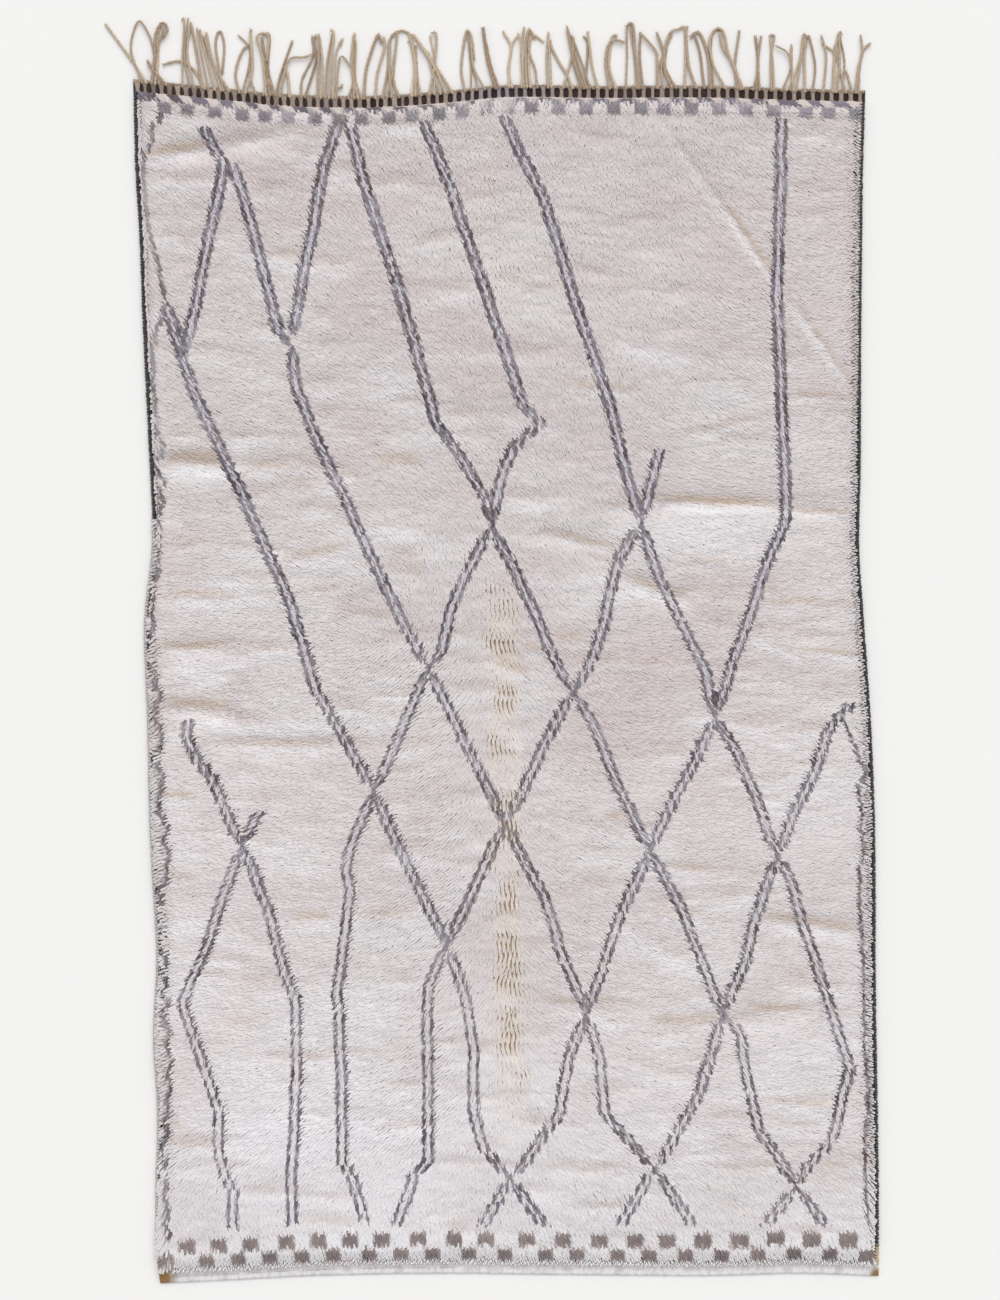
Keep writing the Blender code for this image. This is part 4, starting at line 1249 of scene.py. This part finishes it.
# ---------------------------------------------------------------- heading, end band, selvedges
def heading(dark_wool, rib_wool, cord_wool):
    """Beige warp ribs over dark weft, with a twined tan cord along the outer edge."""
    spin = np.random.default_rng(17)
    low, high = FIELD_HIGH, RUG_LONG / 2
    pitch = RUG_WIDE / HEADING_RIBS
    # The dark weft, bulging a little between the ribs.
    per_rib = 6
    across, along = np.meshgrid(
        np.linspace(-RUG_WIDE / 2, RUG_WIDE / 2, HEADING_RIBS * per_rib + 1),
        np.linspace(low, high, 9))
    bulge = np.abs(np.sin(np.pi * (across / pitch + 0.5)))
    ends = np.clip(np.minimum(along - low, high - along) / 0.005, 0, 1)
    x, y = lie(across, along)
    top = 0.0030 + 0.0030 * bulge * ends + 0.0004 * drift(90, x, y, 0.004, 0.003)
    points, quads = flat_sheet(x, y, top)
    plum = 0.5 + 0.5 * drift(91, points[:, 0], points[:, 1], 0.05, 0.5)
    brown = blend(WEFT_BROWN, WEFT_PLUM, plum)
    weft = piece("heading_weft", points, (quads,), dark_wool, brown)
    # The ribs: flat bundles of warp, spread at both ends, so that the weft shows as dark beans.
    centre = -RUG_WIDE / 2 + (np.arange(HEADING_RIBS) + 0.5) * pitch
    centre = centre - HEADING_DRAWN * np.cos(np.pi * centre / RUG_WIDE)
    centre = centre + spin.uniform(-0.0009, 0.0009, HEADING_RIBS)
    steps = np.array(RIB_STEPS)
    rib_along = low - 0.002 + (HEADING_LONG + 0.001) * steps
    slant = spin.uniform(-0.0016, 0.0006, HEADING_RIBS)[:, None] * (steps - 0.5)
    a = centre[:, None] + slant
    b = np.repeat(rib_along[None], HEADING_RIBS, 0)
    x, y = lie(a, b)
    paths = np.stack([x, y, 0.0046 + 0 * x], -1)
    outer_long = np.interp(centre, (-0.60, -0.10), (0.62, 0.36))[:, None]
    inner = np.clip(1 - steps / 0.24, 0, 1) ** 1.5
    outer = np.clip(1 - (1 - steps) / outer_long, 0, 1) ** 1.3
    thick = 0.0045 * (1 + 0.14 * spin.standard_normal(HEADING_RIBS))[:, None]
    radii = thick + 0.0026 * inner + 0.0056 * outer
    points, walls, caps = tubes(paths, radii, RIB_SIDES, 0.72)
    points[:, 2] = np.clip(points[:, 2], UNDERSIDE, RIB_TOP)
    beige = blend(RIB_BEIGE, RIB_SHADE, spin.uniform(0, 1, HEADING_RIBS))
    faded = np.clip(1 - np.abs(centre - 0.01) / 0.11, 0, 1) ** 0.5
    beige = blend(beige, RIB_FADED, faded)
    beige = beige * (1 + 0.10 * spin.standard_normal(HEADING_RIBS))[:, None]
    beige = np.repeat(beige, len(steps) * RIB_SIDES, 0)
    outward = np.tile(np.repeat(steps, RIB_SIDES), HEADING_RIBS)
    beige = beige * (0.86 + 0.20 * outward)[:, None]
    ribs = piece("heading_ribs", points, (walls, caps), rib_wool, beige)
    # The twined cord: two plies wound loosely about each other along the edge.
    a = np.linspace(-RUG_WIDE / 2 + 0.003, RUG_WIDE / 2 - 0.003, CORD_RINGS)
    turn = 2 * np.pi * a / CORD_TWIST + 1.5 * drift(97, a, a * 0, 0.03, 1.0)
    plies = []
    for ply in (0.0, np.pi):
        ragged = 0.0012 * drift(98, a, a * 0 + ply, 0.012, 1.0)
        x, y = lie(a, high - 0.0034 + 0.0022 * np.sin(turn + ply) + ragged)
        plies.append(np.stack([x, y, 0.0066 + 0.0014 * np.cos(turn + ply)], -1))
    points, walls, caps = tubes(np.array(plies), np.full((2, CORD_RINGS), 0.0019), 5)
    mottle = 0.5 + 0.7 * drift(94, points[:, 0], points[:, 1], 0.014, 0.003)
    tan = blend(CORD_TAN, CORD_SHADE, np.clip(mottle, 0, 1))
    cord = piece("heading_cord", points, (walls, caps), cord_wool, tan)
    return [weft, ribs, cord]


def end_band(material):
    """The fine flatwoven band at the plain end, with its last weft drawn in."""
    low, high = -RUG_LONG / 2, FIELD_LOW
    across, along = np.meshgrid(
        np.linspace(-RUG_WIDE / 2, RUG_WIDE / 2, 401), np.linspace(low, high + 0.001, 9))
    x, y = lie(across, along)
    ribs = np.abs(np.sin(np.pi * across / 0.0080))
    edge = np.clip((along - low) / 0.004, 0, 1)
    top = 0.0036 + 0.0016 * edge + 0.0006 * ribs + 0.0005 * drift(95, x, y, 0.012, 0.003)
    points, quads = flat_sheet(x, y, top)
    px, py = points[:, 0], points[:, 1]
    pale = blend(BAND_WHITE, BAND_GREY, 0.5 + 0.9 * drift(96, px, py, 0.0050, 0.012))
    # A dark thread is laid into the weave, and shows here and there, most to the left.
    woven_along = np.tile(along.ravel(), 2)
    shows = np.clip(0.2 - 1.1 * px + 1.2 * drift(99, px, py * 0, 0.03, 1.0), 0, 1) * 0.55
    thread = np.clip(1 - np.abs(woven_along - low - 0.0125) / 0.0026, 0, 1)
    pale = blend(pale, BAND_THREAD, shows * thread)
    for corner_x, corner_y, reach in ((-0.725, -1.385, 0.035), (0.850, -1.375, 0.02)):
        gold = np.clip(1 - np.hypot(px - corner_x, py - corner_y) / reach, 0, 1) * 1.6
        pale = blend(pale, CORNER_GOLD, np.clip(gold, 0, 1))
    return piece("end_weave", points, (quads,), material, np.clip(pale, 0, 0.9))


def selvedge(name, hand, material):
    """Dark wool overcast round one long edge, wrap by wrap. hand is -1 for left, +1 for right."""
    spin = np.random.default_rng(23 + hand)
    low, high = FIELD_LOW, FIELD_HIGH
    wraps = round((high - low) / SELVEDGE_PITCH)
    b = low + (np.arange(wraps) + 0.5) * (high - low) / wraps
    turn = np.linspace(-0.35, 1.15, 8) * np.pi
    half = SELVEDGE_WIDE / 2
    middle = RUG_WIDE / 2 - half
    reach = (half - SELVEDGE_YARN) * (1 + 0.10 * spin.standard_normal(wraps))[:, None]
    a = middle + reach * np.cos(turn)
    z = SELVEDGE_HIGH * 0.5 + SELVEDGE_HIGH * 0.42 * np.sin(turn) + 0 * a
    slant = 0.0040 * (turn / np.pi - 0.4)
    b = b[:, None] + slant + 0.0006 * spin.standard_normal(wraps)[:, None]
    x, y = lie(hand * a, b)
    z = np.maximum(z, 0.0022)
    paths = np.stack([x, y, z], -1)
    if hand < 0:
        paths = paths[:, ::-1]
    radii = 0.0036 * (1 + 0.10 * spin.standard_normal(wraps))[:, None] * np.ones(len(turn))
    radii = np.minimum(radii, paths[:, :, 2] - 0.0003)
    points, walls, caps = tubes(paths, radii, 5, 0.62)
    wrap_y = y[:, 4]
    colour = np.tile(SELVEDGE_DARK, (wraps, 1)) * (1 + 0.16 * spin.standard_normal(wraps))[:, None]
    if hand < 0:
        # The pile covers the left edge for a hand's length, and again above the lower corner.
        pale = ((wrap_y < 0.29) & (wrap_y > 0.14)) | (wrap_y < -1.245)
        colour = np.where(pale[:, None], PILE_OVER_EDGE, colour)
        worn = np.clip(0.35 + 0.5 * drift(89, wrap_y * 0, wrap_y, 1.0, 0.03), 0, 0.7)
        colour = blend(colour, SELVEDGE_WORN, worn * (wrap_y < 0.14) * ~pale)
        corner, tip_from = CORNER_GOLD, -1.345
        hidden_from = np.interp(wrap_y, (0.28, 0.30, 0.60), (0.85, -0.20, -0.70))
    else:
        corner, tip_from = CORNER_CREAM, -1.305
        hidden_from = np.interp(wrap_y, (0.40, 0.70), (-1.10, -0.10))
    colour = blend(colour, corner, np.clip((tip_from - wrap_y) / 0.015, 0, 1))
    # The pile's fuzz hides their inner part, most of it low on the left and high on the right.
    patchy = 0.3 * spin.standard_normal((wraps, 1))
    fuzz = np.clip((hidden_from[:, None] - np.cos(turn)) / 0.25 + patchy, 0, 1)
    ring = blend(colour[:, None], PILE_FUZZ, fuzz)
    colour = np.repeat(ring.reshape(-1, 3), 5, 0)
    return piece(name, points, (walls, caps), material, np.clip(colour, 0.01, 0.9))


# ---------------------------------------------------------------- the fringe
def smooth_path(bends, spacing):
    """Evenly spaced points on a smooth curve through the bends of a warp end."""
    bends = np.asarray(bends, float)
    ends = np.concatenate([[2 * bends[0] - bends[1]], bends, [2 * bends[-1] - bends[-2]]])
    fine = []
    for k in range(1, len(ends) - 2):
        t = np.linspace(0, 1, 24, endpoint=False)[:, None]
        p, q, r, s = ends[k - 1:k + 3]
        fine.append(0.5 * (2 * q + (r - p) * t + (2 * p - 5 * q + 4 * r - s) * t**2
                           + (3 * q - p - 3 * r + s) * t**3))
    fine = np.concatenate([*fine, bends[-1:]])
    far = np.concatenate([[0], np.cumsum(np.linalg.norm(np.diff(fine, axis=0), axis=1))])
    count = max(round(far[-1] / spacing), 4)
    even = np.linspace(0, far[-1], count + 1)
    return np.stack([np.interp(even, far, fine[:, i]) for i in range(fine.shape[1])], -1), even


def fringe(material):
    """The warp ends, each two plies twisted together, lying as they fell."""
    spin = np.random.default_rng(31)
    left, right = read(SIDES, RUG_LONG / 2, "left"), read(SIDES, RUG_LONG / 2, "right")
    all_points, all_walls, all_caps, all_colours = [], [], [], []
    wall_maps, cap_maps = [], []
    reached = 0
    sides = 5
    for number, end in enumerate(WARP_ENDS):
        root_x = end[0] * CM
        root_across = ((root_x - left) / (right - left) - 0.5) * RUG_WIDE
        outer_edge = float(lie(np.array(root_across), np.array(RUG_LONG / 2))[1])
        root_y = outer_edge - WARP_ROOT_IN
        numbers = list(end[1:])
        # An odd number at the end of a row is where a loop is rooted again.
        again = numbers.pop() * CM if len(numbers) % 2 else None
        bends = [(root_x, root_y, WARP_ROOT_HIGH)]
        level = 0.0034 + 0.0017 * (number % 3)
        for x, y in zip(numbers[::2], numbers[1::2]):
            bends.append((x * CM, y * CM, level + 0.0006 * spin.uniform(-1, 1)))
        first_x, first_y = bends[1][:2]
        bends.insert(1, (root_x * 0.85 + first_x * 0.15, root_y * 0.85 + first_y * 0.15, 0.0076))
        if again is not None:
            bends.append((again, root_y, WARP_ROOT_HIGH))
        path, even = smooth_path(bends, WARP_STEP)
        ahead = np.gradient(path, axis=0)
        ahead /= np.linalg.norm(ahead, axis=1, keepdims=True)
        aside = np.stack([-ahead[:, 1], ahead[:, 0], np.zeros(len(path))], -1)
        aside /= np.maximum(np.linalg.norm(aside, axis=1, keepdims=True), 1e-6)
        upward = np.cross(ahead, aside)
        thick = WARP_THICK * (1 + 0.12 * spin.standard_normal())
        turn = 2 * np.pi * even / (WARP_TWIST + 0.002 * spin.uniform(-1, 1)) + spin.uniform(0, 6)
        to_tip = even[-1] - even
        loose = np.clip(1 - to_tip / WARP_LOOSE, 0, 1) if again is None else 0 * to_tip
        orbit = thick * 0.92 * (1 + 0.9 * loose)
        radius = thick * (1 - 0.55 * loose)
        shade = blend(WARP_PALE, WARP_DEEP, spin.uniform(0, 1))
        for ply in (0.0, np.pi):
            centre = path + aside * (np.cos(turn + ply) * orbit)[:, None]
            centre = centre + upward * (np.sin(turn + ply) * orbit)[:, None]
            centre[:, 2] = np.maximum(centre[:, 2], radius + 0.0002)
            points, walls, caps = tubes(centre[None], radius[None], sides)
            tone = shade * (1 + 0.07 * spin.standard_normal())
            light = 1 + 0.10 * loose[:, None] + 0.05 * spin.standard_normal((len(path), 1))
            all_points.append(points)
            all_walls.append(walls + reached)
            all_caps.append(caps + reached)
            all_colours.append(np.repeat(tone * light, sides, 0))
            start = spin.uniform(0, 5)
            for face, maps in ((walls, wall_maps), (caps, cap_maps)):
                ring, spot = face // sides, face % sides
                last = np.max(spot, 1, keepdims=True) == sides - 1
                spot = np.where((spot == 0) & last, sides, spot)
                place = [start + spot * thick * 1.25, start + ring * WARP_STEP]
                maps.append(np.stack(place, -1).reshape(-1, 2))
            reached += len(points)
    return piece("fringe_ends", np.concatenate(all_points),
                 (np.concatenate(all_walls), np.concatenate(all_caps)), material,
                 np.clip(np.concatenate(all_colours), 0.01, 0.9),
                 (("strand", np.concatenate(wall_maps + cap_maps)),))


# ---------------------------------------------------------------- floor, light and camera
def studio():
    """The pale floor, the soft light and the camera straight above."""
    scene = bpy.context.scene
    scene.view_settings.view_transform = "Standard"
    bpy.ops.mesh.primitive_plane_add(size=30, location=(0, 0, 0))
    floor = bpy.context.object
    floor.name = "studio_floor"
    paint = bpy.data.materials.new("floor_paint")
    paint.use_nodes = True
    shader = paint.node_tree.nodes["Principled BSDF"]
    shader.inputs["Base Color"].default_value = (0.93, 0.93, 0.93, 1)
    shader.inputs["Roughness"].default_value = 1.0
    shader.inputs["Specular IOR Level"].default_value = 0.0
    floor.data.materials.append(paint)
    world = bpy.data.worlds.new("soft_white")
    world.use_nodes = True
    world.node_tree.nodes["Background"].inputs["Color"].default_value = (1, 1, 1, 1)
    world.node_tree.nodes["Background"].inputs["Strength"].default_value = 0.62
    scene.world = world
    lamp = bpy.data.lights.new("window", "SUN")
    lamp.energy = 1.70
    lamp.angle = math.radians(50)
    lamp.color = (1.0, 0.985, 0.965)
    window = bpy.data.objects.new("window", lamp)
    window.rotation_euler = (math.radians(-48), math.radians(8), 0)
    scene.collection.objects.link(window)
    lens = bpy.data.cameras.new("camera")
    lens.lens = 85
    lens.sensor_width = 36
    lens.clip_end = 50
    camera = bpy.data.objects.new("camera", lens)
    camera.location = (0.0187, 0.0022, 6.753 + 0.025)
    scene.collection.objects.link(camera)
    scene.camera = camera


def main():
    """The whole rug: each piece attached to the root body, and the CAD parts that it replaces
    hidden.
    """
    bpy.ops.object.select_all(action="DESELECT")
    studio()
    pile_wool = strand_wool("ivory_pile_wool")
    ground_wool = woven_wool("ground_weave", 260, (1.0, 2.4, 1.0))
    weft_wool = woven_wool("heading_weft_wool", 420, (0.6, 2.0, 1.0))
    rib_wool = woven_wool("heading_rib_wool", 520, (2.2, 0.7, 1.0))
    cord_wool = woven_wool("heading_cord_wool", 600)
    band_wool = woven_wool("end_band_weave", 330, (1.6, 1.0, 1.0))
    edge_wool = woven_wool("selvedge_wool", 480, (0.7, 2.0, 1.0))
    warp_wool = strand_wool("warp_wool", 0.15, 0.8)

    pile = knotted_pile(pile_wool)
    ground = ground_cloth(ground_wool)
    head = heading(weft_wool, rib_wool, cord_wool)
    band = end_band(band_wool)
    left = selvedge("selvedge_wraps_left", -1, edge_wool)
    right = selvedge("selvedge_wraps_right", 1, edge_wool)
    ends = fringe(warp_wool)

    for made, slot in (
        *((strands, "ivory_pile") for strands in pile),
        (ground, "ivory_pile"),
        *((part, "heading_wool") for part in head),
        (band, "ivory_flatweave"),
        (left, "dark_selvedge"),
        (right, "dark_selvedge"),
        (ends, "warp_wool"),
    ):
        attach(made, "root")
    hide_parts("pile_field")
    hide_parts("heading_band")
    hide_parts("end_band")
    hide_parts("selvedge_left")
    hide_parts("selvedge_right")
    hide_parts("fringe")


main()
